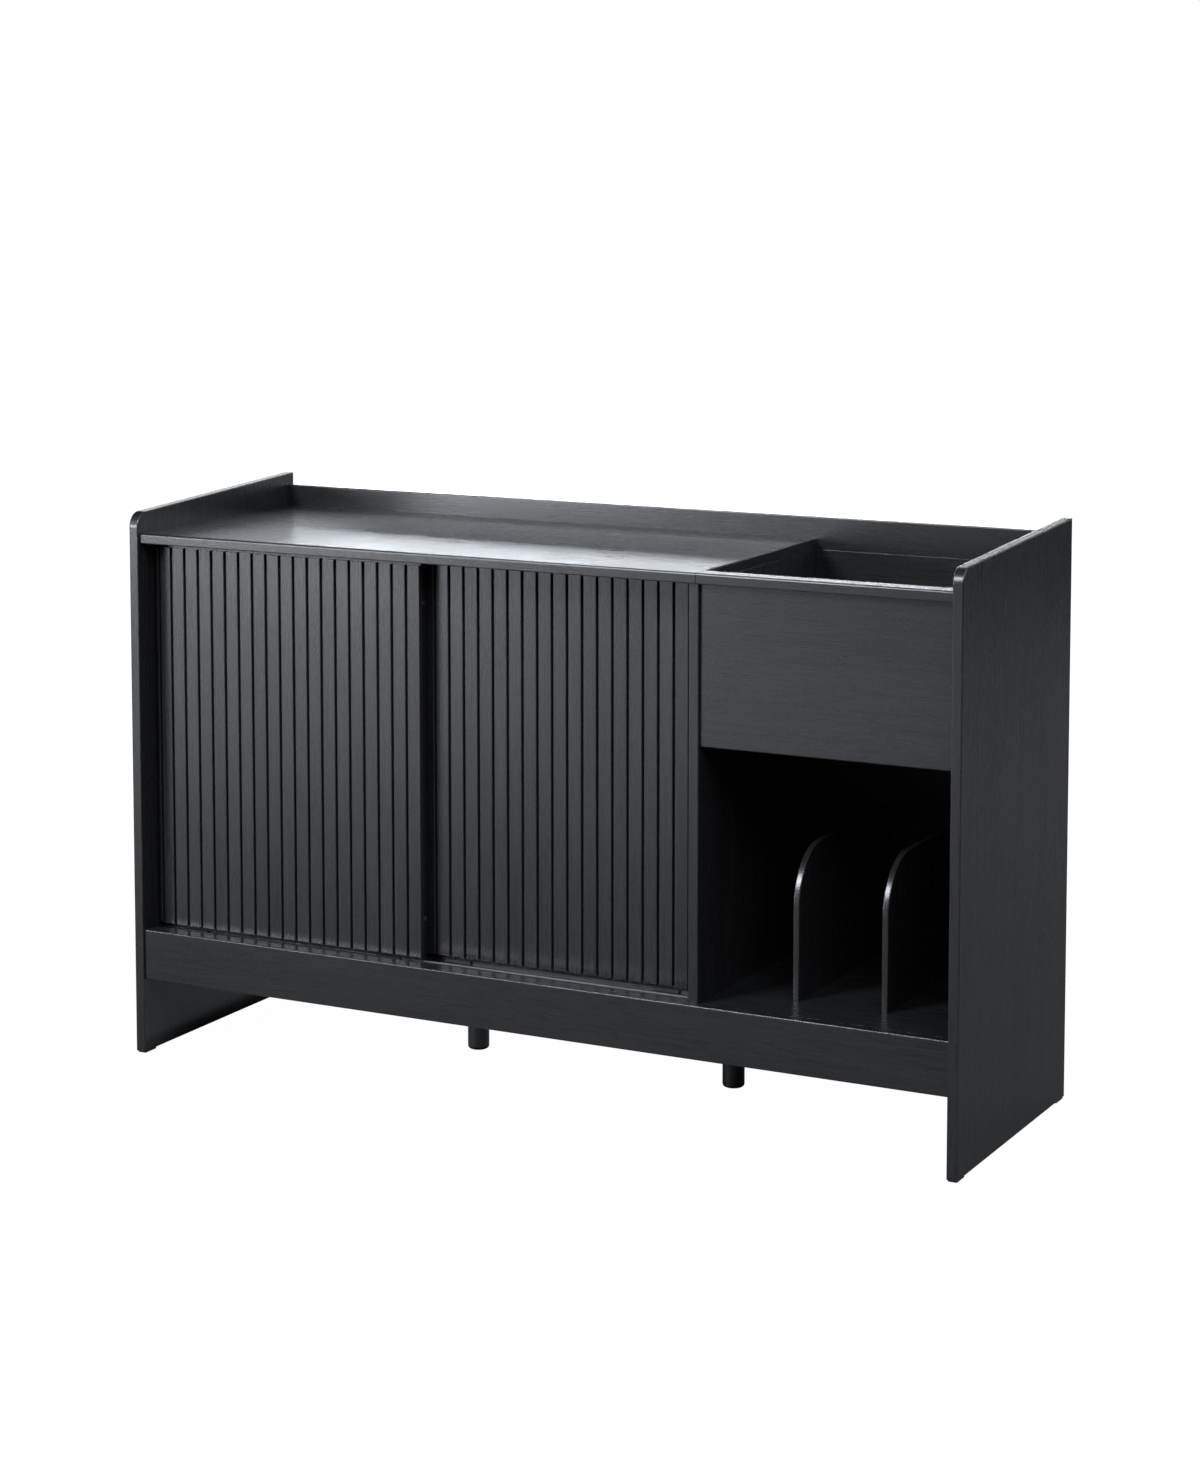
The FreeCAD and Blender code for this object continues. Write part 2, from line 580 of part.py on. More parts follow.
def sliding_door(name, outer_edge, inward, lane):
    """A slatted sliding door. outer_edge is its edge at the bay's end, inward the way to its other edge."""
    outward = "-" if inward == "+" else "+"
    inner_edge = f"({outer_edge} {inward} {DOOR_WIDTH})"
    left_edge, right_edge = (outer_edge, inner_edge) if inward == "+" else (inner_edge, outer_edge)
    board_front = f"({lane} - door_board / 2)"
    board_back = f"({lane} + door_board / 2)"
    slat_front = f"({board_front} - slat_thickness)"
    panel(name + "_panel", (left_edge, board_front, DOOR_BOTTOM),
          (DOOR_WIDTH, "door_board", f"{DOOR_TOP} - {DOOR_BOTTOM}"), "y",
          eased=FRONT_EDGES_UPRIGHT + [("+y", "-x"), ("+y", "+x")])

    # Both doors are faced alike: whole slats from the right edge, then one cut narrower, then the edge strip.
    slats = []
    for index in range(full_slats):
        corner_x = f"({right_edge} - {index} * (slat_width + slat_gap) - slat_width)"
        slats.append(box(f"{name}_slat_{index}", (corner_x, slat_front, SLAT_BOTTOM),
                         ("slat_width", "slat_thickness", SLAT_HEIGHT)))
    narrow = f"({DOOR_WIDTH} - {full_slats} * (slat_width + slat_gap) - slat_gap - edge_strip_width)"
    narrow_x = f"({left_edge} + edge_strip_width + slat_gap)"
    slats.append(box(f"{name}_slat_narrow", (narrow_x, slat_front, SLAT_BOTTOM),
                     (narrow, "slat_thickness", SLAT_HEIGHT)))
    keep_group(name + "_slats", slats)
    nodes[name + "_edge_strip"] = box(name + "_edge_strip_solid", (left_edge, slat_front, SLAT_BOTTOM),
                                      ("edge_strip_width", "slat_thickness", SLAT_HEIGHT))

    # Grooved shoes straddle the bottom fin and pins run in the top groove, one pair near each end.
    shoes, guides, screws = [], [], []
    for end, centre_x in (("outer", f"({outer_edge} {inward} guide_inset)"),
                          ("inner", f"({inner_edge} {outward} guide_inset)")):
        shoe_left = f"({centre_x} - shoe_length / 2)"
        base = box(f"{name}_shoe_base_{end}",
                   (shoe_left, f"{lane} - shoe_width / 2", f"{FIN_BASE} + shoe_play"),
                   ("shoe_length", "shoe_width", f"{DOOR_BOTTOM} - {FIN_BASE} - shoe_play"))
        tongue = box(f"{name}_shoe_tongue_{end}", (shoe_left, f"{lane} - shoe_tongue_width / 2", DOOR_BOTTOM),
                     ("shoe_length", "shoe_tongue_width", "shoe_tongue_height"))
        slot = box(f"{name}_shoe_slot_{end}",
                   (f"{shoe_left} - shoe_play", f"{lane} - fin_width / 2 - shoe_play", FIN_BASE),
                   ("shoe_length + 2 * shoe_play", "fin_width + 2 * shoe_play", "fin_height + shoe_play"))
        let_into(name + "_panel", tongue)
        shoe = cut(f"{name}_shoe_{end}", joined(f"{name}_shoe_blank_{end}", [base, tongue]), [slot])
        for side in ("+", "-"):
            at = (f"({centre_x} {side} shoe_screw_offset)", board_back,
                  f"{DOOR_BOTTOM} + shoe_tongue_height / 2")
            screws.append(small_screw(f"{name}_shoe_screw_{len(screws)}", at, "-y",
                                      "(door_board + shoe_tongue_width) / 2", name + "_panel",
                                      name + "_bottom_shoes"))
        shoes.append(shoe)
        guide = rod(f"{name}_guide_{end}", (centre_x, lane, f"{DOOR_TOP} - guide_pin_bore"), "+z",
                    "guide_pin_diameter",
                    f"{GROOVE_ROOF} - {DOOR_TOP} - guide_pin_play + guide_pin_bore")
        collar = rod(f"{name}_guide_collar_{end}", (centre_x, lane, DOOR_TOP), "+z",
                     "guide_collar_diameter", "guide_collar_height")
        guides.append(joined(f"{name}_guide_pin_{end}", [guide, collar]))
        let_into(name + "_panel", guide)
    keep_group(name + "_bottom_shoes", shoes)
    keep_group(name + "_top_guides", guides)
    keep_group(name + "_shoe_screws", screws)

    # Soft buffers on both upright edges meet the side panel and the divider.
    buffers = []
    for end, edge, way in (("outer", outer_edge, outward), ("inner", inner_edge, inward)):
        for level, height in (("low", f"{DOOR_BOTTOM} + buffer_inset"),
                              ("high", f"{DOOR_TOP} - buffer_inset")):
            buffers.append(rod(f"{name}_buffer_{end}_{level}", (edge, lane, height), way + "x",
                               "buffer_diameter", "buffer_thickness"))
    keep_group(name + "_buffers", buffers)


sliding_door("front_door", f"({LEFT} + door_side_gap)", "+", FRONT_LANE)
sliding_door("rear_door", f"({BAY_RIGHT} - door_side_gap)", "-", REAR_LANE)

# ---------------------------------------------------------------- centre legs and glides
feet, leg_screws = [], []
PLATE_BOTTOM = f"({BASE_UNDERSIDE} - leg_plate_thickness)"
plates = []
for name, way in (("left", "-"), ("right", "+")):
    leg_x = f"({way} leg_spacing / 2)"
    leg = rod(f"centre_leg_{name}_post", (leg_x, "leg_offset", "foot_height"), "+z", "leg_diameter",
              f"{PLATE_BOTTOM} - foot_height")
    nodes[f"centre_leg_{name}"] = leg
    disc = rod(f"foot_disc_{name}", (leg_x, "leg_offset", "0"), "+z", "leg_diameter", "foot_height")
    doc.recompute()
    soft_disc = doc.addObject("Part::Fillet", f"foot_soft_{name}")
    soft_disc.Base = disc
    rim = next(number for number, edge in enumerate(disc.Shape.Edges, start=1)
               if len(edge.Vertexes) == 1 and abs(edge.Vertexes[0].Point.z) < TOLERANCE)
    soft_disc.Edges = [(rim, size("foot_rounding"), size("foot_rounding"))]
    stem = rod(f"foot_stem_{name}", (leg_x, "leg_offset", "foot_height"), "+z", "foot_stem_diameter",
               "foot_stem_height")
    let_into(f"centre_leg_{name}", stem)
    feet.append(joined(f"foot_{name}", [soft_disc, stem]))
    plate = box(f"leg_plate_{name}",
                (f"{leg_x} - leg_plate_size / 2", "leg_offset - leg_plate_size / 2", PLATE_BOTTOM),
                ("leg_plate_size", "leg_plate_size", "leg_plate_thickness"))
    plates.append(plate)
    reach = "(leg_plate_size / 2 - small_screw_head)"
    for number, (across, along) in enumerate((("-", "-"), ("+", "-"), ("-", "+"), ("+", "+"))):
        at = (f"({leg_x} {across} {reach})", f"(leg_offset {along} {reach})", PLATE_BOTTOM)
        leg_screws.append(small_screw(f"leg_screw_{name}_{number}", at, "+z",
                                      "leg_plate_thickness + small_screw_hold", "leg_plates", "bottom_panel"))
keep_group("leg_feet", feet)
keep_group("leg_plates", plates)
keep_group("leg_screws", leg_screws)

glides = []
for name, side_x in (("left", f"({LEFT} - board / 2)"), ("right", f"({RIGHT} + board / 2)")):
    for end, corner_y in (("front", f"({FRONT} + glide_inset)"),
                          ("back", f"({BACK} - glide_inset - glide_length)")):
        glides.append(box(f"glide_{name}_{end}", (f"{side_x} - glide_width / 2", corner_y, "0"),
                          ("glide_width", "glide_length", "glide_height")))
keep_group("side_glides", glides)

# ---------------------------------------------------------------- dowels, cam fittings and screws
dowels, cam_bolts, cam_locks, base_screws = [], [], [], []
CAM_ROWS = (f"({FRONT} + cam_front)", f"({BACK} - cam_back)")
DOWEL_ROWS = (f"({FRONT} + dowel_front)", f"({BACK} - dowel_back)")


def dowel(face_point, direction, face_node, edge_node, reach="edge_bore"):
    """A dowel across a joint, from face_point on the face board's surface towards the edge board."""
    back = ("-" if direction[0] == "+" else "+") + direction[1]
    peg = rod(f"dowel_{len(dowels)}", offset(face_point, back, "face_bore"), direction, "dowel_diameter",
              f"face_bore + {reach}")
    let_into(face_node, peg)
    let_into(edge_node, peg)
    dowels.append(peg)


def cam(face_point, direction, housing, thickness, face_node, edge_node):
    """A cam fitting: a bolt in the face board and a round cam let into the edge board from one side."""
    number = len(cam_locks)
    back = ("-" if direction[0] == "+" else "+") + direction[1]
    start = offset(face_point, back, "face_bore")
    shaft = rod(f"cam_shaft_{number}", start, direction, "cam_bolt_diameter", "face_bore + cam_distance")
    head_start = offset(face_point, direction, "cam_distance - cam_head_length / 2")
    head = rod(f"cam_head_{number}", head_start, direction, "cam_head_diameter", "cam_head_length")
    bolt = joined(f"cam_bolt_{number}", [shaft, head])
    middle = offset(face_point, direction, "cam_distance")
    outside = ("-" if housing[0] == "+" else "+") + housing[1]
    lock = rod(f"cam_disc_{number}", offset(middle, outside, f"({thickness}) / 2"), housing, "cam_diameter",
               "cam_bore")
    let_into(face_node, bolt)
    let_into(edge_node, bolt, lock)
    cam_bolts.append(bolt)
    cam_locks.append(cut(f"cam_lock_{number}", lock, [bolt]))


def base_screw(point, node):
    """A long screw up through the bottom panel into the foot of an upright."""
    number = len(base_screws)
    shank = rod(f"base_screw_shank_{number}", (*point, BASE_UNDERSIDE), "+z", "base_screw_diameter",
                "bottom_board + base_screw_hold")
    head = rod(f"base_screw_head_{number}", (*point, BASE_UNDERSIDE), "+z", "base_screw_head",
               "base_screw_head_height")
    screw = joined(f"base_screw_{number}", [shank, head])
    let_into("bottom_panel", screw)
    let_into(node, screw)
    base_screws.append(screw)


TOP_MIDDLE = "(top_height - board / 2)"
BASE_MIDDLE = "(shelf_height - bottom_board / 2)"
BIN_FLOOR_MIDDLE = "(bin_underside + board / 2)"
PARTITION_MIDDLE = f"({PARTITION_LEFT} + board / 2)"
DIVIDER_MIDDLE = f"({BAY_RIGHT} + board / 2)"
REAR_MIDDLE = f"({BACK} - board / 2)"
BIN_PANEL_MIDDLE = f"({BIN_PANEL_FRONT} + board / 2)"
APRON_MIDDLE = f"({APRON_FRONT} + board / 2)"

for row in CAM_ROWS:
    cam((LEFT, row, TOP_MIDDLE), "+x", "+z", "board", "side_panel_left", "top_panel")
    cam((LEFT, row, BASE_MIDDLE), "+x", "+z", "bottom_board", "side_panel_left", "bottom_panel")
    cam((RIGHT, row, BASE_MIDDLE), "-x", "+z", "bottom_board", "side_panel_right", "bottom_panel")
    cam((RIGHT, row, BIN_FLOOR_MIDDLE), "-x", "+z", "board", "side_panel_right", "bin_floor")
    cam((CUBBY_LEFT, row, BIN_FLOOR_MIDDLE), "+x", "+z", "board", "divider_panel", "bin_floor")
    cam((DIVIDER_MIDDLE, row, TOP_UNDERSIDE), "-z", "+x", "board", "top_panel", "divider_panel")
    cam((PARTITION_MIDDLE, row, TOP_UNDERSIDE), "-z", "+x", "board", "top_panel", "inner_partition")

for row in DOWEL_ROWS:
    dowel((LEFT, row, TOP_MIDDLE), "+x", "side_panel_left", "top_panel")
    dowel((LEFT, row, BASE_MIDDLE), "+x", "side_panel_left", "bottom_panel")
    dowel((RIGHT, row, BASE_MIDDLE), "-x", "side_panel_right", "bottom_panel")
    dowel((RIGHT, row, BIN_FLOOR_MIDDLE), "-x", "side_panel_right", "bin_floor")
    dowel((CUBBY_LEFT, row, BIN_FLOOR_MIDDLE), "+x", "divider_panel", "bin_floor")
    for middle, node in ((DIVIDER_MIDDLE, "divider_panel"), (PARTITION_MIDDLE, "inner_partition")):
        dowel((middle, row, TOP_UNDERSIDE), "-z", "top_panel", node)
        dowel((middle, row, "shelf_height"), "+z", "bottom_panel", node)
    for left_x, node in ((DIVIDER_LEFT_X, "record_divider_left"), (DIVIDER_RIGHT_X, "record_divider_right")):
        base_screw((f"{left_x} + record_divider_board / 2", row), node)
for row in CAM_ROWS:
    base_screw((DIVIDER_MIDDLE, row), "divider_panel")
    base_screw((PARTITION_MIDDLE, row), "inner_partition")

# Gallery rail: pegged to the side panels, the top panel's back edge and the bin's back
GALLERY_MIDDLE = "(top_height + gallery_height / 2)"
dowel((LEFT, REAR_MIDDLE, GALLERY_MIDDLE), "+x", "side_panel_left", "gallery_rail")
dowel((RIGHT, REAR_MIDDLE, GALLERY_MIDDLE), "-x", "side_panel_right", "gallery_rail")
for share in (1, 3, 5):
    bay_x = f"({LEFT} + {BAY_WIDTH} * {share} / 6)"
    dowel((bay_x, REAR_BOARD_FRONT, TOP_MIDDLE), "-y", "gallery_rail", "top_panel")

# Bin boards, pegged to the divider, the right side panel and each other
for share in (1, 3):
    bin_x = f"({CUBBY_LEFT} + cubby_width * {share} / 4)"
    dowel((bin_x, REAR_MIDDLE, TOP_UNDERSIDE), "-z", "gallery_rail", "bin_back_panel")
    dowel((bin_x, BIN_PANEL_MIDDLE, TOP_UNDERSIDE), "-z", "bin_cap_rail", "bin_front_panel")
    dowel((bin_x, BIN_PANEL_BACK, BIN_FLOOR_MIDDLE), "+y", "bin_front_panel", "bin_floor")
    dowel((bin_x, REAR_BOARD_FRONT, BIN_FLOOR_MIDDLE), "-y", "bin_back_panel", "bin_floor")
    bin_z = f"({BIN_FLOOR} + ({TOP_UNDERSIDE} - {BIN_FLOOR}) * {share} / 4)"
    for middle, node in ((BIN_PANEL_MIDDLE, "bin_front_panel"), (REAR_MIDDLE, "bin_back_panel")):
        dowel((CUBBY_LEFT, middle, bin_z), "+x", "divider_panel", node)
        dowel((RIGHT, middle, bin_z), "-x", "side_panel_right", node)
CAP_MIDDLE = f"({TOP_FRONT} + cap_rail_depth / 2)"
dowel((RIGHT, CAP_MIDDLE, TOP_MIDDLE), "-x", "side_panel_right", "bin_cap_rail")
dowel((CUBBY_LEFT, CAP_MIDDLE, TOP_MIDDLE), "+x", "top_panel", "bin_cap_rail")

# Aprons, pegged to the side panels and the bottom panel
for share in (1, 3):
    apron_z = f"(shelf_height - apron_height * {share} / 4)"
    dowel((LEFT, APRON_MIDDLE, apron_z), "+x", "side_panel_left", "front_apron")
    dowel((RIGHT, APRON_MIDDLE, apron_z), "-x", "side_panel_right", "front_apron")
REAR_APRON_Z = "(shelf_height - apron_height + (apron_height - bottom_board) / 2)"
dowel((LEFT, REAR_MIDDLE, REAR_APRON_Z), "+x", "side_panel_left", "rear_apron")
dowel((RIGHT, REAR_MIDDLE, REAR_APRON_Z), "-x", "side_panel_right", "rear_apron")
for share in (1, 3, 5, 7):
    apron_x = f"({LEFT} + {INNER_LENGTH} * {share} / 8)"
    dowel((apron_x, APRON_BACK, BASE_MIDDLE), "+y", "front_apron", "bottom_panel", "face_bore")
    dowel((apron_x, REAR_MIDDLE, BASE_UNDERSIDE), "-z", "bottom_panel", "rear_apron")

keep_group("dowels", dowels)
keep_group("cam_bolts", cam_bolts)
keep_group("cam_locks", cam_locks)
keep_group("base_screws", base_screws)

# Corner blocks brace the front apron against the bottom panel, each with one screw up and one forwards
blocks, block_screws = [], []
for share in (1, 3, 5, 7, 9):
    block_x = f"({LEFT} + {INNER_LENGTH} * {share} / 10)"
    number = len(blocks)
    blocks.append(box(f"corner_block_{number}",
                      (f"{block_x} - block_length / 2", APRON_BACK, f"{BASE_UNDERSIDE} - block_size"),
                      ("block_length", "block_size", "block_size")))
    block_screws.append(small_screw(
        f"block_screw_up_{number}",
        (f"({block_x} - block_length / 4)", f"({APRON_BACK} + block_size / 2)",
         f"({BASE_UNDERSIDE} - block_size)"),
        "+z", "block_size + small_screw_hold / 2", "corner_blocks", "bottom_panel"))
    block_screws.append(small_screw(
        f"block_screw_forward_{number}",
        (f"({block_x} + block_length / 4)", f"({APRON_BACK} + block_size)",
         f"({BASE_UNDERSIDE} - block_size / 2)"),
        "-y", "block_size + small_screw_hold", "corner_blocks", "front_apron"))
keep_group("corner_blocks", blocks)
keep_group("block_screws", block_screws)

# ---------------------------------------------------------------- bores, checks and files
for name, tools in cutters.items():
    nodes[name] = cut(name + "_bored", nodes[name], tools)
for name, piece in nodes.items():
    piece.Label = name
doc.recompute()

failed = [item.Name for item in doc.Objects if "Invalid" in item.State or "Error" in item.State]
if failed:
    raise RuntimeError("these objects failed: " + ", ".join(failed))

for name, piece in nodes.items():
    shape = piece.Shape
    if shape.isNull() or not shape.isValid():
        raise RuntimeError(f"{name} has no valid shape")
    if len(shape.Solids) != solid_counts.get(name, 1):
        raise RuntimeError(f"{name} has {len(shape.Solids)} solids, not {solid_counts.get(name, 1)}")

for name, piece in nodes.items():
    piece.Shape.exportStep(f"parts/{name}.step")
print(len(nodes), "nodes")
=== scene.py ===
import math

import bmesh
import bpy
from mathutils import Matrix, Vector


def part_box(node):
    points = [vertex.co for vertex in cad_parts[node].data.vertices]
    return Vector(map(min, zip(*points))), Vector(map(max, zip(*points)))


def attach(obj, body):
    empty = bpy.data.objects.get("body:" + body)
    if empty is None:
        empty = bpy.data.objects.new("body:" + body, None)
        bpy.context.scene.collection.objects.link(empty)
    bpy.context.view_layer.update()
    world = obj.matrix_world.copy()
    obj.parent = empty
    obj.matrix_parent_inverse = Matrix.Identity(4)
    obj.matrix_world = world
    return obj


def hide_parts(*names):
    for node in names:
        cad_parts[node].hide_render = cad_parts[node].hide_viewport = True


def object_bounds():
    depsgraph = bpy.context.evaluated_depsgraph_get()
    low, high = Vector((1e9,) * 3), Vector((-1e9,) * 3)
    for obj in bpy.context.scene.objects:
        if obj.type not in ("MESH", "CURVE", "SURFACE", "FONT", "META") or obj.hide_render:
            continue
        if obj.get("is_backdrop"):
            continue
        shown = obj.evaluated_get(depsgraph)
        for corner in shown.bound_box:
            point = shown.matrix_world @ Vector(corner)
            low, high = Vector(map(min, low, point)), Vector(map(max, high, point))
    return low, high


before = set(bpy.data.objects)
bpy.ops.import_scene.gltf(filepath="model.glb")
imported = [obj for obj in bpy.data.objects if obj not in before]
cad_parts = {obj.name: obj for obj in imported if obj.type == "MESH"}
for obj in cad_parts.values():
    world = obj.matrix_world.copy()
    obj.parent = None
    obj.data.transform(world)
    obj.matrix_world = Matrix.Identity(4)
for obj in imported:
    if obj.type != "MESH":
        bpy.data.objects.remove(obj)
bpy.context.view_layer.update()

# Side panels. Two upright ends of 15 mm particle board under a black woodgrain foil, edge-banded all round,
# whose top edge climbs to the back. They stand on the floor and carry every long board between them.
LAMINATE_DARK = (0.0052, 0.0054, 0.0059, 1)
LAMINATE_PALE = (0.0175, 0.0178, 0.0188, 1)
# The arris tone is partly edge wear and partly a painted highlight on the rounded edges.
LAMINATE_WORN_AND_HIGHLIGHT = (0.0500, 0.0510, 0.0530, 1)
PORE_BLACK = (0.0022, 0.0023, 0.0026, 1)
GRAIN_TURN = {"x": (0, 0, 0), "y": (0, 0, math.radians(-90)), "z": (0, math.radians(90), 0)}
GRAIN_AXIS = {"x": (1, 0, 0), "y": (0, 1, 0), "z": (0, 0, 1)}
END_GRAIN_FACING = 0.75
SATIN = 0.265
ARRIS_RADIUS = 0.0016


def feed(tree, socket, value):
    """Set an input to a value, or link another node's output to it."""
    if isinstance(value, bpy.types.NodeSocket):
        tree.links.new(value, socket)
    else:
        socket.default_value = value


def add_node(tree, kind, inputs=None, **settings):
    """A node with its settings, and its inputs set to a value or linked to another node's output."""
    node = tree.nodes.new(kind)
    for key, value in settings.items():
        setattr(node, key, value)
    for key, value in (inputs or {}).items():
        feed(tree, node.inputs[key], value)
    return node


def calc(tree, operation, first, second=0.0, third=0.0):
    """The output of one sum."""
    return add_node(tree, "ShaderNodeMath", {0: first, 1: second, 2: third}, operation=operation).outputs[0]


def spread(tree, value, low, high, new_low, new_high):
    """A value from one range stretched over another, and held inside it."""
    return add_node(tree, "ShaderNodeMapRange", {"Value": value, "From Min": low, "From Max": high,
                                                 "To Min": new_low, "To Max": new_high}).outputs["Result"]


def tint(tree, share, first, second, blend="MIX"):
    """A colour between two colours, or the two multiplied together."""
    return add_node(tree, "ShaderNodeMix", {0: share, 6: first, 7: second}, data_type="RGBA",
                    blend_type=blend).outputs[2]


def across(tree, normal, axis):
    """How squarely a face looks along an axis: 0 for beside it and 1 for straight along it."""
    facing = add_node(tree, "ShaderNodeVectorMath", {0: normal, 1: axis}, operation="DOT_PRODUCT")
    return calc(tree, "ABSOLUTE", facing.outputs["Value"])


def object_places(tree):
    """The piece's own coordinates, in metres."""
    return add_node(tree, "ShaderNodeTexCoord").outputs["Object"]


def flat_normal(tree):
    """The normal of the face itself."""
    return add_node(tree, "ShaderNodeNewGeometry").outputs["True Normal"]


def bump(tree, strength, distance, height, **inputs):
    """The normal of a surface with that relief."""
    return add_node(tree, "ShaderNodeBump", {"Strength": strength, "Distance": distance, "Height": height,
                                             **inputs}).outputs[0]


def speckle(tree, where, scale, detail=3.0, roughness=0.5, distortion=0.0):
    """Noise from 0 to 1, with its own scale along each axis, so that it can be stretched along the grain."""
    stretched = add_node(tree, "ShaderNodeMapping", {"Vector": where, "Scale": scale}).outputs[0]
    return add_node(tree, "ShaderNodeTexNoise", {"Vector": stretched, "Scale": 1.0, "Detail": detail,
                                                 "Roughness": roughness, "Distortion": distortion}).outputs[0]


def new_finish(name):
    """An empty finish: its node tree and its surface shader."""
    finish = bpy.data.materials.new(name)
    finish.use_nodes = True
    tree = finish.node_tree
    tree.nodes.clear()
    shader = add_node(tree, "ShaderNodeBsdfPrincipled")
    add_node(tree, "ShaderNodeOutputMaterial", {"Surface": shader.outputs[0]})
    return finish, tree, shader


def set_skin(tree, shader, colour, rough, relief):
    """Lead the colour, the roughness and the relief into the surface shader."""
    tree.links.new(colour, shader.inputs["Base Color"])
    tree.links.new(rough, shader.inputs["Roughness"])
    tree.links.new(relief, shader.inputs["Normal"])


def grain_places(tree, grain, band):
    """Object coordinates turned so that the grain runs along X, or on the end faces along the band."""
    where = object_places(tree)
    face = add_node(tree, "ShaderNodeMapping", {"Vector": where, "Rotation": GRAIN_TURN[grain]}).outputs[0]
    edge = add_node(tree, "ShaderNodeMapping", {"Vector": where, "Rotation": GRAIN_TURN[band]}).outputs[0]
    on_end = calc(tree, "GREATER_THAN", across(tree, flat_normal(tree), GRAIN_AXIS[grain]), END_GRAIN_FACING)
    return add_node(tree, "ShaderNodeMix", {0: on_end, 4: face, 5: edge}, data_type="VECTOR").outputs[1]


def laminate(name, grain, band, tone=1.0, figure=1.0):
    """Black woodgrain foil: long pale streaks, short dark pores and a satin face, with lighter arrises that
    are partly wear and partly a painted highlight.
    """
    finish, tree, shader = new_finish(name)
    straight = grain_places(tree, grain, band)
    sway = speckle(tree, straight, (1.3, 5.0, 5.0), detail=2.0)
    drift = add_node(tree, "ShaderNodeCombineXYZ", {1: calc(tree, "MULTIPLY", sway, 0.020),
                                                    2: calc(tree, "MULTIPLY", sway, 0.020)}).outputs[0]
    where = add_node(tree, "ShaderNodeVectorMath", {0: straight, 1: drift}).outputs[0]
    waves = speckle(tree, where, (1.1, 26.0, 26.0), detail=3.0, distortion=0.4)
    streaks = speckle(tree, where, (4.5, 260.0, 260.0), detail=5.0, roughness=0.62)
    dashes = speckle(tree, where, (26.0, 420.0, 420.0), detail=2.0)
    pores = speckle(tree, where, (70.0, 1500.0, 1500.0), detail=2.0)
    both = calc(tree, "ADD", calc(tree, "MULTIPLY", streaks, 0.68), calc(tree, "MULTIPLY", waves, 0.32))
    pale = spread(tree, both, 0.33, 0.67, 0.5 - 0.3 * figure, 0.5 + 0.3 * figure)
    colour = tint(tree, pale, LAMINATE_DARK, LAMINATE_PALE)
    dash = spread(tree, dashes, 0.55, 0.68, 0.0, 0.45)
    colour = tint(tree, dash, colour, PORE_BLACK)
    pore = spread(tree, pores, 0.58, 0.66, 0.0, 0.8)
    colour = tint(tree, pore, colour, PORE_BLACK)
    colour = tint(tree, 1.0, colour, (tone, tone, tone, 1), blend="MULTIPLY")
    softened = add_node(tree, "ShaderNodeBevel", {"Radius": ARRIS_RADIUS}, samples=4).outputs[0]
    turned = add_node(tree, "ShaderNodeVectorMath", {0: softened, 1: flat_normal(tree)},
                      operation="DOT_PRODUCT").outputs["Value"]
    # Arrises are lightened here: partly edge wear, partly a painted highlight that stands in for the glint on
    # the rounded edges.
    rub = spread(tree, speckle(tree, straight, (30.0, 30.0, 30.0), detail=3.0), 0.42, 0.70, 0.0, 0.7)
    worn_and_highlight = calc(tree, "MULTIPLY", spread(tree, turned, 0.93, 0.995, 1.0, 0.0), rub)
    colour = tint(tree, worn_and_highlight, colour, LAMINATE_WORN_AND_HIGHLIGHT)
    smears = speckle(tree, straight, (5.0, 7.0, 7.0), detail=3.0)
    rough = calc(tree, "ADD", spread(tree, streaks, 0.3, 0.7, SATIN + 0.016 * figure, SATIN - 0.016 * figure),
                 spread(tree, smears, 0.3, 0.7, -0.015, 0.025))
    rough = calc(tree, "ADD", rough, calc(tree, "MULTIPLY", pore, 0.07))
    height = calc(tree, "SUBTRACT", calc(tree, "MULTIPLY", streaks, 0.35),
                  calc(tree, "ADD", calc(tree, "MULTIPLY", dash, 0.15), calc(tree, "MULTIPLY", pore, 0.6)))
    shader.inputs["Specular IOR Level"].default_value = 0.5
    set_skin(tree, shader, colour, rough, bump(tree, 0.25, 0.0001, height, Normal=softened))
    return finish


def dress(node, finish):
    """Give a carried-over piece its finish."""
    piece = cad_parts[node]
    piece.data.materials.clear()
    piece.data.materials.append(finish)


upright_laminate = laminate("upright_laminate", "z", "y")
for side in ("side_panel_left", "side_panel_right"):
    dress(side, upright_laminate)

# Long boards. The top, the bottom, the gallery rail and the two aprons are the same foiled board, with its
# grain along the cabinet. They are doweled and cammed between the side panels.
long_laminate = laminate("long_laminate", "x", "y")
for board in ("top_panel", "bottom_panel", "gallery_rail", "front_apron", "rear_apron"):
    dress(board, long_laminate)

# Divider and inner partition. Two uprights screwed up through the bottom and cammed to the top. The divider
# parts the doors' bay from the records, and the partition stands behind the sliding doors.
inner_laminate = laminate("inner_upright_laminate", "z", "y", tone=0.95)
for upright in ("divider_panel", "inner_partition"):
    dress(upright, inner_laminate)

# Record bin. Four foiled boards pegged into an open box for records, at hand height beside the top: a cap
# rail along the front, the front panel under it, a floor and a back.
bin_laminate = laminate("bin_laminate", "x", "y", tone=1.05)
for board in ("bin_cap_rail", "bin_front_panel", "bin_floor", "bin_back_panel"):
    dress(board, bin_laminate)

# Record dividers. Two 9 mm foiled boards with a large rounded front corner, which keep the records upright.
# They are screwed up through the bottom panel.
for divider in ("record_divider_left", "record_divider_right"):
    dress(divider, inner_laminate)

# Back panels. 3 mm hardboard slid into grooves on all four sides: a dark printed face inside and a rougher,
# warmer pressed face outside, where the screen of the press has left its weave.
HARDBOARD_DARK = (0.0085, 0.0080, 0.0076, 1)
HARDBOARD_PALE = (0.0260, 0.0235, 0.0205, 1)
HARDBOARD_FIBRE = (0.0700, 0.0560, 0.0420, 1)
SCREEN_WAVES = 3800.0


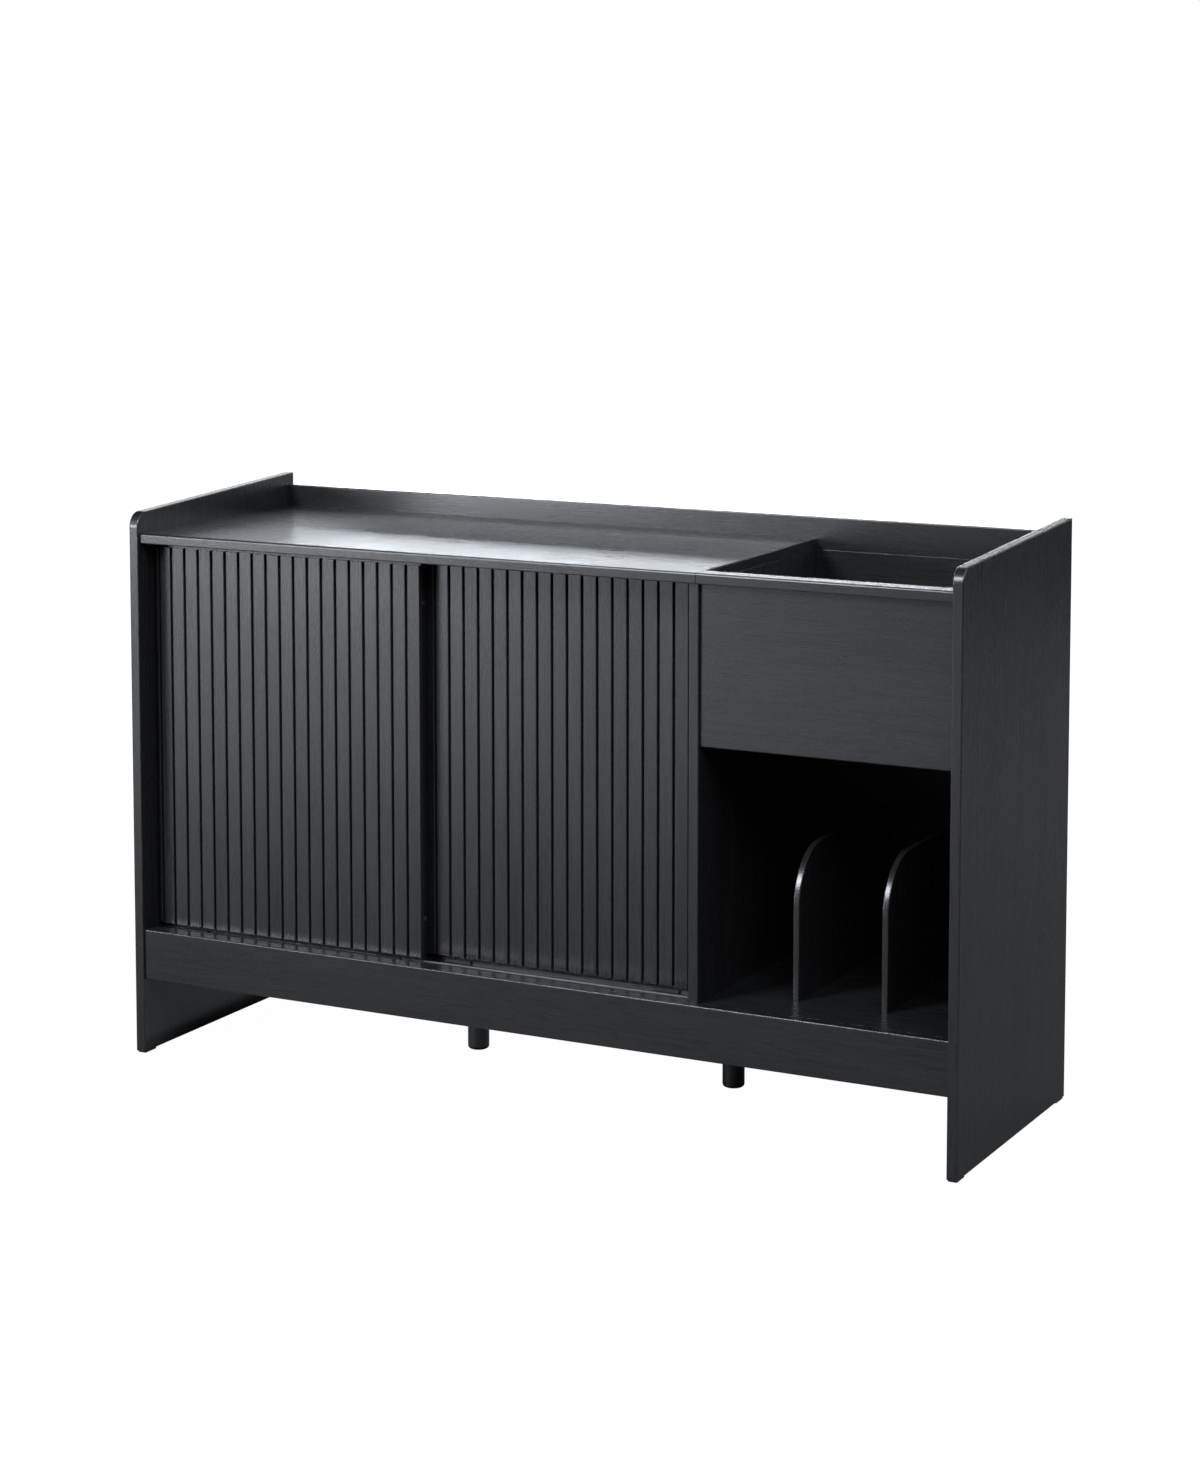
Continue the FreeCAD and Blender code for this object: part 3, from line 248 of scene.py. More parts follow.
def hardboard():
    """Hardboard: dark pressed fibres, paler chips and the weave of the press's screen."""
    finish, tree, shader = new_finish("hardboard")
    where = object_places(tree)
    clouds = speckle(tree, where, (9.0, 9.0, 9.0), detail=4.0)
    fibres = speckle(tree, where, (330.0, 330.0, 90.0), detail=4.0, roughness=0.6)
    chips = speckle(tree, where, (900.0, 900.0, 260.0), detail=2.0)
    colour = tint(tree, spread(tree, fibres, 0.35, 0.65, 0.0, 1.0), HARDBOARD_DARK, HARDBOARD_PALE)
    colour = tint(tree, spread(tree, chips, 0.60, 0.70, 0.0, 0.6), colour, HARDBOARD_FIBRE)
    colour = tint(tree, spread(tree, clouds, 0.3, 0.7, 0.0, 0.35), colour, HARDBOARD_DARK)
    axes = add_node(tree, "ShaderNodeSeparateXYZ", {0: where}).outputs
    weft, warp = [calc(tree, "SINE", calc(tree, "MULTIPLY", axes[axis], SCREEN_WAVES)) for axis in (0, 2)]
    screen = calc(tree, "MULTIPLY", weft, warp)
    height = calc(tree, "ADD", calc(tree, "MULTIPLY", screen, 0.35), fibres)
    shader.inputs["Specular IOR Level"].default_value = 0.28
    rough = spread(tree, clouds, 0.3, 0.7, 0.50, 0.66)
    set_skin(tree, shader, colour, rough, bump(tree, 0.4, 0.0003, height))
    return finish


back_hardboard = hardboard()
for back in ("back_panel_left", "back_panel_middle", "back_panel_cubby"):
    dress(back, back_hardboard)

# Cable grommets. Two rings pressed into the round outlets of the back panels, so that cables don't chafe.
# They are injection-moulded plastic with a fine pebbled skin.
MOULDED_BLACK = (0.0120, 0.0122, 0.0128, 1)
MOULDED_GREY = (0.0240, 0.0243, 0.0250, 1)


def moulded(name, dark=MOULDED_BLACK, pale=MOULDED_GREY, pebble=1400.0, rough=0.42):
    """Injection-moulded plastic: a pebbled skin, faint flow clouds and small rubbed places."""
    finish, tree, shader = new_finish(name)
    where = object_places(tree)
    skin = speckle(tree, where, (pebble, pebble, pebble), detail=2.0)
    flow = speckle(tree, where, (24.0, 24.0, 60.0), detail=3.0, distortion=0.5)
    rubs = speckle(tree, where, (160.0, 160.0, 40.0), detail=4.0)
    colour = tint(tree, spread(tree, flow, 0.3, 0.7, 0.0, 0.8), dark, pale)
    colour = tint(tree, spread(tree, rubs, 0.62, 0.75, 0.0, 0.4), colour, pale)
    rough = calc(tree, "ADD", spread(tree, skin, 0.3, 0.7, rough - 0.04, rough + 0.06),
                 spread(tree, rubs, 0.5, 0.75, 0.0, -0.08))
    shader.inputs["Specular IOR Level"].default_value = 0.45
    set_skin(tree, shader, colour, rough, bump(tree, 0.3, 0.0002, skin))
    return finish


leg_plastic = moulded("leg_plastic")
dress("cable_grommets", leg_plastic)

# Shelves. Two loose boards in the same foil, with their grain along the cabinet. They lie on pins behind the
# doors, with a little play at their ends.
for board in ("shelf_left", "shelf_right"):
    dress(board, long_laminate)

# Shelf pins. Eight zinc-plated pins pushed into the uprights, each with a thin collar against the wall and a
# domed tip under the shelf.
ZINC = (0.52, 0.53, 0.54, 1)
ZINC_DULL = (0.30, 0.30, 0.29, 1)
PIN_COLLAR = 0.0008
PIN_COLLAR_SPREAD = 1.5
PIN_DOME = 0.0010
PIN_STEM_END, PIN_SHOULDER, PIN_CROWN = 0.75, 0.82, 0.45
WELD_WITHIN = 1e-6


def plated(name, bright=ZINC, dull=ZINC_DULL, rough=0.30, scratch=700.0):
    """Zinc-plated steel: bright metal with dull clouds, fine scratches and a slightly uneven skin."""
    finish, tree, shader = new_finish(name)
    where = object_places(tree)
    clouds = speckle(tree, where, (180.0, 180.0, 180.0), detail=3.0)
    scratches = speckle(tree, where, (scratch * 3, scratch, scratch / 6), detail=4.0)
    colour = tint(tree, spread(tree, clouds, 0.35, 0.7, 0.0, 1.0), bright, dull)
    rough = calc(tree, "ADD", spread(tree, clouds, 0.3, 0.7, rough, rough + 0.14),
                 spread(tree, scratches, 0.4, 0.7, 0.0, 0.08))
    shader.inputs["Metallic"].default_value = 1.0
    set_skin(tree, shader, colour, rough, bump(tree, 0.2, 0.0001, scratches))
    return finish


def solids_of(node):
    """The corner points of each separate solid in a CAD node, from left to right, front to back and up."""
    copy = bmesh.new()
    copy.from_mesh(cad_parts[node].data)
    bmesh.ops.remove_doubles(copy, verts=copy.verts, dist=WELD_WITHIN)
    found, seen = [], set()
    for start in copy.verts:
        if start in seen:
            continue
        seen.add(start)
        island, waiting = [], [start]
        while waiting:
            vert = waiting.pop()
            island.append(vert.co.copy())
            for edge in vert.link_edges:
                other = edge.other_vert(vert)
                if other not in seen:
                    seen.add(other)
                    waiting.append(other)
        found.append(island)
    copy.free()
    return sorted(found, key=lambda island: [round(sum(co[axis] for co in island) / len(island), 4)
                                             for axis in range(3)])


def reach_of(island):
    """Lowest corner, highest corner and longest axis of a solid."""
    low = Vector([min(co[axis] for co in island) for axis in range(3)])
    high = Vector([max(co[axis] for co in island) for axis in range(3)])
    span = high - low
    return low, high, max(range(3), key=lambda axis: span[axis])


def axis_points(places):
    """A mesh of bare points, each with the direction that its fitting points in."""
    mesh = bpy.data.meshes.new("places")
    mesh.from_pydata([at for at, _ in places], [], [])
    along = mesh.attributes.new("along", "FLOAT_VECTOR", "POINT")
    for item, (_, direction) in zip(along.data, places):
        item.vector = direction
    return mesh


def new_tree(name, inputs):
    """A geometry tree with a mesh in and a mesh out, and its inputs by name."""
    tree = bpy.data.node_groups.new(name, "GeometryNodeTree")
    tree.interface.new_socket("Geometry", in_out="INPUT", socket_type="NodeSocketGeometry")
    for label, kind, value in inputs:
        socket = tree.interface.new_socket(label, in_out="INPUT", socket_type="NodeSocket" + kind)
        if value is not None:
            socket.default_value = value
    tree.interface.new_socket("Geometry", in_out="OUTPUT", socket_type="NodeSocketGeometry")
    return tree, {socket.name: socket for socket in tree.nodes.new("NodeGroupInput").outputs}


def close_tree(tree, geometry, material):
    """Realize the instances, set the finish and lead the result out."""
    real = add_node(tree, "GeometryNodeRealizeInstances", {0: geometry}).outputs[0]
    dressed = add_node(tree, "GeometryNodeSetMaterial", {"Geometry": real, "Material": material}).outputs[0]
    tree.links.new(dressed, tree.nodes.new("NodeGroupOutput").inputs[0])


def set_along(tree, points, fitting, seed):
    """The fitting on every point, its Z along the point's direction, each turned about it by chance."""
    along = add_node(tree, "GeometryNodeInputNamedAttribute", {"Name": "along"},
                     data_type="FLOAT_VECTOR").outputs[0]
    turn = add_node(tree, "FunctionNodeAlignRotationToVector", {"Vector": along}, axis="Z").outputs[0]
    placed = add_node(tree, "GeometryNodeInstanceOnPoints", {"Points": points, "Instance": fitting,
                                                             "Rotation": turn}).outputs[0]
    roll = add_node(tree, "FunctionNodeRandomValue", {"Seed": seed, 2: 0.0, 3: math.tau}).outputs[1]
    spin = add_node(tree, "ShaderNodeCombineXYZ", {2: roll}).outputs[0]
    return add_node(tree, "GeometryNodeRotateInstances", {"Instances": placed, "Rotation": spin}).outputs[0]


def grow(tree, mesh, values):
    """The plain mesh that a tree makes of a mesh with these inputs."""
    holder = bpy.data.objects.new("holder", mesh)
    bpy.context.scene.collection.objects.link(holder)
    modifier = holder.modifiers.new("tree", "NODES")
    modifier.node_group = tree
    named = {item.name: item.identifier for item in tree.interface.items_tree if item.in_out == "INPUT"}
    for label, value in values.items():
        modifier[named[label]] = value
    bpy.context.view_layer.update()
    grown = bpy.data.meshes.new_from_object(holder.evaluated_get(bpy.context.evaluated_depsgraph_get()))
    holder.modifiers.remove(modifier)
    bpy.data.objects.remove(holder)
    return grown


def fit(name, body, slot, finish, meshes, *stands_for, angle=40.0):
    """One piece from plain meshes, riding on its body and standing for its CAD nodes."""
    whole = bmesh.new()
    for mesh in meshes:
        whole.from_mesh(mesh)
    for face in whole.faces:
        face.material_index = 0
    mesh = bpy.data.meshes.new(name)
    whole.to_mesh(mesh)
    whole.free()
    mesh.materials.append(finish)
    mesh.shade_smooth()
    mesh.set_sharp_from_angle(angle=math.radians(angle))
    piece = bpy.data.objects.new(name, mesh)
    bpy.context.scene.collection.objects.link(piece)
    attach(piece, body)
    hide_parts(*stands_for)


def turned_tree(name, inputs, rings):
    """A tree for a turned fitting. rings gives the height and radius of each ring from the tree's inputs."""
    tree, given = new_tree(name, inputs + [("Sides", "Int", 24), ("Seed", "Int", 1),
                                           ("Material", "Material", None)])
    heights, radii = zip(*rings(tree, given))
    line = add_node(tree, "GeometryNodeMeshLine", {"Count": len(heights)}).outputs[0]
    index = add_node(tree, "GeometryNodeInputIndex").outputs[0]

    def by_ring(values):
        chosen = tree.nodes.new("GeometryNodeIndexSwitch")
        chosen.data_type = "FLOAT"
        while len(chosen.index_switch_items) < len(values):
            chosen.index_switch_items.new()
        tree.links.new(index, chosen.inputs["Index"])
        for number, value in enumerate(values, start=1):
            feed(tree, chosen.inputs[number], value)
        return chosen.outputs[0]

    spine = add_node(tree, "ShaderNodeCombineXYZ", {2: by_ring(heights)}).outputs[0]
    line = add_node(tree, "GeometryNodeSetPosition", {"Geometry": line, "Position": spine}).outputs[0]
    curve = add_node(tree, "GeometryNodeMeshToCurve", {0: line}).outputs[0]
    widths = by_ring(radii)
    curve = add_node(tree, "GeometryNodeSetCurveRadius", {"Curve": curve, "Radius": widths}).outputs[0]
    ring = add_node(tree, "GeometryNodeCurvePrimitiveCircle", {"Resolution": given["Sides"],
                                                               "Radius": 1.0}).outputs[0]
    scale = add_node(tree, "GeometryNodeInputRadius").outputs[0]
    swept = add_node(tree, "GeometryNodeCurveToMesh", {"Curve": curve, "Profile Curve": ring, "Scale": scale,
                                                       "Fill Caps": True}).outputs[0]
    close_tree(tree, set_along(tree, given["Geometry"], swept, given["Seed"]), given["Material"])
    return tree


def pin_rings(tree, given):
    """A bevelled stem in the wall, the collar against the wall and the domed tip under the shelf."""
    tip, radius = given["Reach"], given["Radius"]
    broad = calc(tree, "MULTIPLY", radius, PIN_COLLAR_SPREAD)
    inner = calc(tree, "MULTIPLY", given["Depth in wall"], -1.0)
    bevel = calc(tree, "MULTIPLY", radius, PIN_STEM_END)
    return [(inner, bevel), (calc(tree, "ADD", inner, PIN_DOME), radius), (0.0, radius), (0.0, broad),
            (PIN_COLLAR, broad), (PIN_COLLAR, radius), (calc(tree, "SUBTRACT", tip, PIN_DOME), radius),
            (calc(tree, "SUBTRACT", tip, PIN_DOME / 3), calc(tree, "MULTIPLY", radius, PIN_SHOULDER)),
            (tip, calc(tree, "MULTIPLY", radius, PIN_CROWN))]


pin_tree = turned_tree("shelf_pin", [("Radius", "Float", 0.0025), ("Depth in wall", "Float", 0.008),
                                     ("Reach", "Float", 0.008)], pin_rings)
zinc_steel = plated("zinc_steel")
pin_places = []
partition_low, partition_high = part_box("inner_partition")
for island in solids_of("shelf_pins"):
    low, high, _ = reach_of(island)
    middle = (low + high) / 2
    shelf = "shelf_left" if middle.x < (partition_low.x + partition_high.x) / 2 else "shelf_right"
    shelf_low, shelf_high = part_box(shelf)
    way = 1.0 if middle.x < (shelf_low.x + shelf_high.x) / 2 else -1.0
    pin_places.append((middle, (way, 0.0, 0.0)))
fit("shelf_pin_set", "cabinet", "zinc_steel", zinc_steel,
    [grow(pin_tree, axis_points(pin_places), {"Material": zinc_steel})], "shelf_pins")

# Dowels. Plain beech pegs with chamfered ends, glued across every board joint and out of sight once the joint
# is closed.
BEECH_PALE = (0.52, 0.35, 0.20, 1)
BEECH_DARK = (0.36, 0.21, 0.11, 1)
DOWEL_CHAMFER = 0.0010
DOWEL_END = 0.86
AT_THE_END = 1e-5


def bare_wood(name, pale, dark, grain="z"):
    """Bare wood: warm streaks, short darker flecks and a dry face."""
    finish, tree, shader = new_finish(name)
    where = grain_places(tree, grain, grain)
    streaks = speckle(tree, where, (25.0, 420.0, 420.0), detail=4.0)
    flecks = speckle(tree, where, (240.0, 1700.0, 1700.0), detail=2.0)
    colour = tint(tree, spread(tree, streaks, 0.35, 0.65, 0.0, 1.0), pale, dark)
    colour = tint(tree, spread(tree, flecks, 0.62, 0.72, 0.0, 0.6), colour, dark)
    shader.inputs["Specular IOR Level"].default_value = 0.3
    rough = spread(tree, streaks, 0.3, 0.7, 0.56, 0.72)
    set_skin(tree, shader, colour, rough, bump(tree, 0.35, 0.0002, flecks))
    return finish


def dowel_rings(tree, given):
    """A straight peg with a chamfer at each end."""
    length, radius = given["Length"], given["Radius"]
    narrow = calc(tree, "MULTIPLY", radius, DOWEL_END)
    return [(0.0, narrow), (DOWEL_CHAMFER, radius), (calc(tree, "SUBTRACT", length, DOWEL_CHAMFER), radius),
            (length, narrow)]


def direction_along(axis, sign=1.0):
    """A direction along one of the three axes."""
    direction = [0.0, 0.0, 0.0]
    direction[axis] = sign
    return direction


def breadth(island, centre, axis, end):
    """How far the corners at one end of a solid stand from its axis."""
    offsets = [corner - centre for corner in island if abs(corner[axis] - end) < AT_THE_END]
    for offset in offsets:
        offset[axis] = 0.0
    return max(offset.length for offset in offsets)


def by_length(node):
    """The solids of a node by length: where the broader end of each one is, and which way it points."""
    groups = {}
    for island in solids_of(node):
        low, high, axis = reach_of(island)
        centre = (low + high) / 2
        low_breadth, high_breadth = [breadth(island, centre, axis, end[axis]) for end in (low, high)]
        head_is_low = low_breadth >= high_breadth - WELD_WITHIN
        start = centre.copy()
        start[axis] = low[axis] if head_is_low else high[axis]
        place = (start, direction_along(axis, 1.0 if head_is_low else -1.0))
        groups.setdefault(round(high[axis] - low[axis], 5), []).append(place)
    return groups


dowel_tree = turned_tree("dowel", [("Radius", "Float", 0.004), ("Length", "Float", 0.029)], dowel_rings)
dowel_beech = bare_wood("beech", BEECH_PALE, BEECH_DARK)
fit("dowel_set", "cabinet", "beech", dowel_beech,
    [grow(dowel_tree, axis_points(places), {"Length": length, "Sides": 20, "Material": dowel_beech})
     for length, places in sorted(by_length("dowels").items())], "dowels")

# Cam fittings. A steel bolt stands in one board, and a round die-cast cam let into the next board draws it
# in. The cam's open face has a cross slot for the driver.
CAM_RADIUS = 0.0075
CAM_DEPTH = 0.012
CAM_SLOT = (0.0095, 0.0016, 0.0022)
CAM_SIDES = 40
DIE_CAST = (0.42, 0.42, 0.43, 1)
DIE_CAST_DULL = (0.24, 0.24, 0.24, 1)
cam_metal = plated("cam_metal", bright=DIE_CAST, dull=DIE_CAST_DULL, rough=0.42)
dress("cam_bolts", zinc_steel)


def cross_slot(tree, head, length, width, depth):
    """Cut a cross of two slots into a head whose open face lies at Z 0 and looks down."""
    for size in ((length, width), (width, length)):
        shape = add_node(tree, "ShaderNodeCombineXYZ", {0: size[0], 1: size[1],
                                                        2: calc(tree, "MULTIPLY", depth, 2.0)}).outputs[0]
        blade = add_node(tree, "GeometryNodeMeshCube", {"Size": shape}).outputs[0]
        head = add_node(tree, "GeometryNodeMeshBoolean", {"Mesh 1": head, "Mesh 2": blade},
                        operation="DIFFERENCE", solver="EXACT").outputs[0]
    return head


def shifted(tree, geometry, height):
    """Geometry raised by that height."""
    lift = add_node(tree, "ShaderNodeCombineXYZ", {2: height}).outputs[0]
    return add_node(tree, "GeometryNodeTransform", {"Geometry": geometry, "Translation": lift}).outputs[0]


def cam_tree():
    """A round cam with its open face on each point and a cross slot in that face."""
    slot_length, slot_width, slot_depth = CAM_SLOT
    tree, given = new_tree("cam_lock", [("Radius", "Float", CAM_RADIUS), ("Depth", "Float", CAM_DEPTH),
                                        ("Slot length", "Float", slot_length),
                                        ("Slot width", "Float", slot_width),
                                        ("Slot depth", "Float", slot_depth), ("Seed", "Int", 3),
                                        ("Material", "Material", None)])
    disc = add_node(tree, "GeometryNodeMeshCylinder", {"Vertices": CAM_SIDES, "Radius": given["Radius"],
                                                       "Depth": given["Depth"]}).outputs[0]
    disc = shifted(tree, disc, calc(tree, "MULTIPLY", given["Depth"], 0.5))
    disc = cross_slot(tree, disc, given["Slot length"], given["Slot width"], given["Slot depth"])
    close_tree(tree, set_along(tree, given["Geometry"], disc, given["Seed"]), given["Material"])
    return tree


cam_places = []
for island in solids_of("cam_locks"):
    low, high, _ = reach_of(island)
    span = high - low
    axis = min(range(3), key=lambda number: span[number])
    face = (low + high) / 2
    face[axis] = low[axis]
    cam_places.append((face, direction_along(axis)))
fit("cam_lock_set", "cabinet", "cam_metal", cam_metal,
    [grow(cam_tree(), axis_points(cam_places), {"Material": cam_metal})], "cam_locks")

# Screws. Countersunk cross-head wood screws of plated steel, with rolled threads: long ones up through the
# bottom panel into the uprights, and short ones in the corner blocks, leg plates and tracks.
HEAD_SIDES = 28
SHANK_SIDES = 14
TIP_RADIUS = 0.0001
STEPS_IN_A_TURN = 12
RIDGE_SIDES = 3


def joined(tree, parts):
    """Several pieces of geometry as one."""
    whole = tree.nodes.new("GeometryNodeJoinGeometry")
    for part in parts:
        tree.links.new(part, whole.inputs[0])
    return whole.outputs[0]


def screw_tree():
    """A screw with its head's face on each point: a slotted cone, a core, a pointed tip and a thread."""
    tree, given = new_tree("wood_screw", [("Length", "Float", 0.012), ("Head radius", "Float", 0.0035),
                                          ("Head height", "Float", 0.0015),
                                          ("Shank radius", "Float", 0.00175), ("Pitch", "Float", 0.0016),
                                          ("Seed", "Int", 5), ("Material", "Material", None)])
    shank, head_radius, head_height = given["Shank radius"], given["Head radius"], given["Head height"]

    def times(value, factor):
        return calc(tree, "MULTIPLY", value, factor)

    head = add_node(tree, "GeometryNodeMeshCone", {"Vertices": HEAD_SIDES, "Radius Bottom": head_radius,
                                                   "Radius Top": times(head_radius, 0.72),
                                                   "Depth": head_height}).outputs[0]
    head = cross_slot(tree, head, times(head_radius, 1.15), times(head_radius, 0.24), times(head_height, 0.7))
    root = times(shank, 0.72)
    tip_length = times(shank, 1.6)
    core_length = calc(tree, "SUBTRACT", given["Length"], tip_length)
    core = add_node(tree, "GeometryNodeMeshCylinder", {"Vertices": SHANK_SIDES, "Radius": root,
                                                       "Depth": core_length}).outputs[0]
    core = shifted(tree, core, times(core_length, 0.5))
    tip = add_node(tree, "GeometryNodeMeshCone", {"Vertices": SHANK_SIDES, "Radius Bottom": root,
                                                  "Radius Top": TIP_RADIUS, "Depth": tip_length}).outputs[0]
    tip = shifted(tree, tip, core_length)
    run = calc(tree, "SUBTRACT", core_length, head_height)
    crest = times(shank, 0.84)
    coil = add_node(tree, "GeometryNodeCurveSpiral", {"Resolution": STEPS_IN_A_TURN, "Height": run,
                                                      "Rotations": calc(tree, "DIVIDE", run, given["Pitch"]),
                                                      "Start Radius": crest, "End Radius": crest}).outputs[0]
    ridge = add_node(tree, "GeometryNodeCurvePrimitiveCircle", {"Resolution": RIDGE_SIDES,
                                                                "Radius": times(shank, 0.16)}).outputs[0]
    thread = add_node(tree, "GeometryNodeCurveToMesh", {"Curve": coil, "Profile Curve": ridge,
                                                        "Fill Caps": True}).outputs[0]
    thread = shifted(tree, thread, head_height)
    screw = joined(tree, (head, core, tip, thread))
    close_tree(tree, set_along(tree, given["Geometry"], screw, given["Seed"]), given["Material"])
    return tree


wood_screw = screw_tree()


def screws(node, body="cabinet", **sizes):
    """Replace a node of plain screws with cross-head ones of the same lengths in the same places."""
    values = {label.replace("_", " ").capitalize(): size for label, size in sizes.items()}
    meshes = [grow(wood_screw, axis_points(places), {"Length": length, "Material": zinc_steel, **values})
              for length, places in sorted(by_length(node).items())]
    fit(node + "_threaded", body, "zinc_steel", zinc_steel, meshes, node)


screws("base_screws", head_radius=0.0045, head_height=0.003, shank_radius=0.0025, pitch=0.0024)
for node in ("block_screws", "leg_screws", "track_screws"):
    screws(node)

# Corner blocks. Five planed softwood blocks with their edges broken, which brace the front apron against the
# bottom panel. Each is glued and screwed to both.
BLOCK_PALE = (0.58, 0.42, 0.25, 1)
BLOCK_DARK = (0.42, 0.27, 0.14, 1)
BLOCK_ARRIS = 0.0008
SHARP_FROM = 50
block_wood = bare_wood("block_wood", BLOCK_PALE, BLOCK_DARK, grain="x")
dress("corner_blocks", block_wood)


def break_edges(node, width):
    """Weld a carried-over piece's loose faces and round its sharp edges a little."""
    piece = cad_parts[node]
    weld = piece.modifiers.new("weld", "WELD")
    weld.merge_threshold = WELD_WITHIN
    bevel = piece.modifiers.new("arris", "BEVEL")
    bevel.width = width
    bevel.segments = 2
    bevel.limit_method = "ANGLE"
    bevel.angle_limit = math.radians(SHARP_FROM)


break_edges("corner_blocks", BLOCK_ARRIS)

# Centre legs. Two round moulded legs on steel plates, which keep the long bottom panel from sagging. Each has
# a screwed foot that levels the cabinet.
PLATE_GREY = (0.20, 0.20, 0.21, 1)
PLATE_DULL = (0.11, 0.11, 0.12, 1)
for piece in ("centre_leg_left", "centre_leg_right", "leg_feet"):
    dress(piece, leg_plastic)
plate_steel = plated("plate_steel", bright=PLATE_GREY, dull=PLATE_DULL, rough=0.40)
dress("leg_plates", plate_steel)

# Side glides. Four moulded pads nailed under the side panels, which keep the boards' edges off the floor.
# Their rims are rounded, so that they slide without catching.
GLIDE_GREY = (0.030, 0.030, 0.031, 1)
GLIDE_ARRIS = 0.0008
glide_plastic = moulded("glide_plastic", pale=GLIDE_GREY, rough=0.5)
dress("side_glides", glide_plastic)
break_edges("side_glides", GLIDE_ARRIS)

# Door tracks. Two extruded aluminium sections, dark anodised, let into the bottom and the top of the bay. The
# lower has a fin for each door, with a bright band along its top that is partly rubbed metal and partly a
# painted highlight, and the upper a groove for each door.
ANODISED = (0.105, 0.107, 0.112, 1)
ANODISED_DARK = (0.060, 0.061, 0.065, 1)
ANODISED_RUBBED = (0.200, 0.200, 0.205, 1)
# The bare-metal tint and the height band on the fins' tops where it lies: partly wear, partly a painted
# highlight.
BARE_ALUMINIUM_AND_HIGHLIGHT = (0.66, 0.67, 0.69, 1)
FIN_BARE_AND_HIGHLIGHT_FROM = 0.1824
FIN_BARE_AND_HIGHLIGHT_TO = 0.1834
REAR_LANE_FROM = -0.145
# How much less of the rear fin is brightened: painted shade under the rear door.
REAR_LANE_PAINTED_SHADE = 0.0012
LOWER_TRACK_BELOW = 0.30


def anodised():
    """Anodised aluminium drawn along X; the bare metal atop the lower track's fins is partly wear and partly
    a painted highlight.
    """
    finish, tree, shader = new_finish("anodised_track")
    where = object_places(tree)
    drawn = speckle(tree, where, (2.0, 2400.0, 2400.0), detail=4.0)
    clouds = speckle(tree, where, (14.0, 60.0, 60.0), detail=3.0)
    rubs = speckle(tree, where, (9.0, 500.0, 500.0), detail=4.0)
    colour = tint(tree, spread(tree, drawn, 0.35, 0.65, 0.0, 1.0), ANODISED_DARK, ANODISED)
    colour = tint(tree, spread(tree, rubs, 0.60, 0.74, 0.0, 0.5), colour, ANODISED_RUBBED)
    _, depth, height = add_node(tree, "ShaderNodeSeparateXYZ", {0: where}).outputs
    # The rear fin's bright band starts higher and stays thinner, as painted shade under the rear door.
    in_rear_lane = calc(tree, "GREATER_THAN", depth, REAR_LANE_FROM)
    reach = calc(tree, "SUBTRACT", height, calc(tree, "MULTIPLY", in_rear_lane, REAR_LANE_PAINTED_SHADE))
    # The fins' tops are tinted towards bare metal: partly rubbed wear, partly a painted highlight.
    on_fin = calc(tree, "MULTIPLY", calc(tree, "LESS_THAN", height, LOWER_TRACK_BELOW),
                  spread(tree, reach, FIN_BARE_AND_HIGHLIGHT_FROM, FIN_BARE_AND_HIGHLIGHT_TO, 0.0, 1.0))
    bare_and_highlight = calc(tree, "MULTIPLY", on_fin, spread(tree, rubs, 0.25, 0.6, 0.75, 1.0))
    colour = tint(tree, bare_and_highlight, colour, BARE_ALUMINIUM_AND_HIGHLIGHT)
    rough = calc(tree, "ADD", spread(tree, drawn, 0.3, 0.7, 0.30, 0.40),
                 spread(tree, clouds, 0.3, 0.7, -0.03, 0.05))
    shader.inputs["Metallic"].default_value = 0.9
    shader.inputs["Anisotropic"].default_value = 0.4
    set_skin(tree, shader, colour, rough, bump(tree, 0.2, 0.0001, drawn))
    return finish


anodised_track = anodised()
for track in ("bottom_track", "top_track"):
    dress(track, anodised_track)

# Sliding doors. Two like boards of 12 mm, foiled and faced with upright slats glued on from the right edge,
# then one narrower slat and a thin edge strip. Nylon shoes straddle the track's fin, pins run in the groove
# above, and soft buffers on the edges meet the side panel and the divider.
SLAT_WIDTH = 0.0203
SLAT_GAP = 0.0033
SLAT_ARRIS = 0.0009
SLAT_COUNT = 18
STRIP_ARRIS = 0.0006
FLAT_TO = 10.0
SHEET_STEPS = (3.7, 5.3, 7.1)
DOME_STEPS = (0.5, 0.9, 1.25, 1.5)
DOME_BLUNTED = 0.6
# The nylon of the shoes and guides, and the buffers' dark tone, are darker than plain moulded black: partly
# the nylon's own black, partly painted shade under the doors.
NYLON_BLACK = (0.0060, 0.0060, 0.0062, 1)
NYLON_GREY = (0.0130, 0.0130, 0.0135, 1)
BUFFER_GREY = (0.0140, 0.0140, 0.0145, 1)


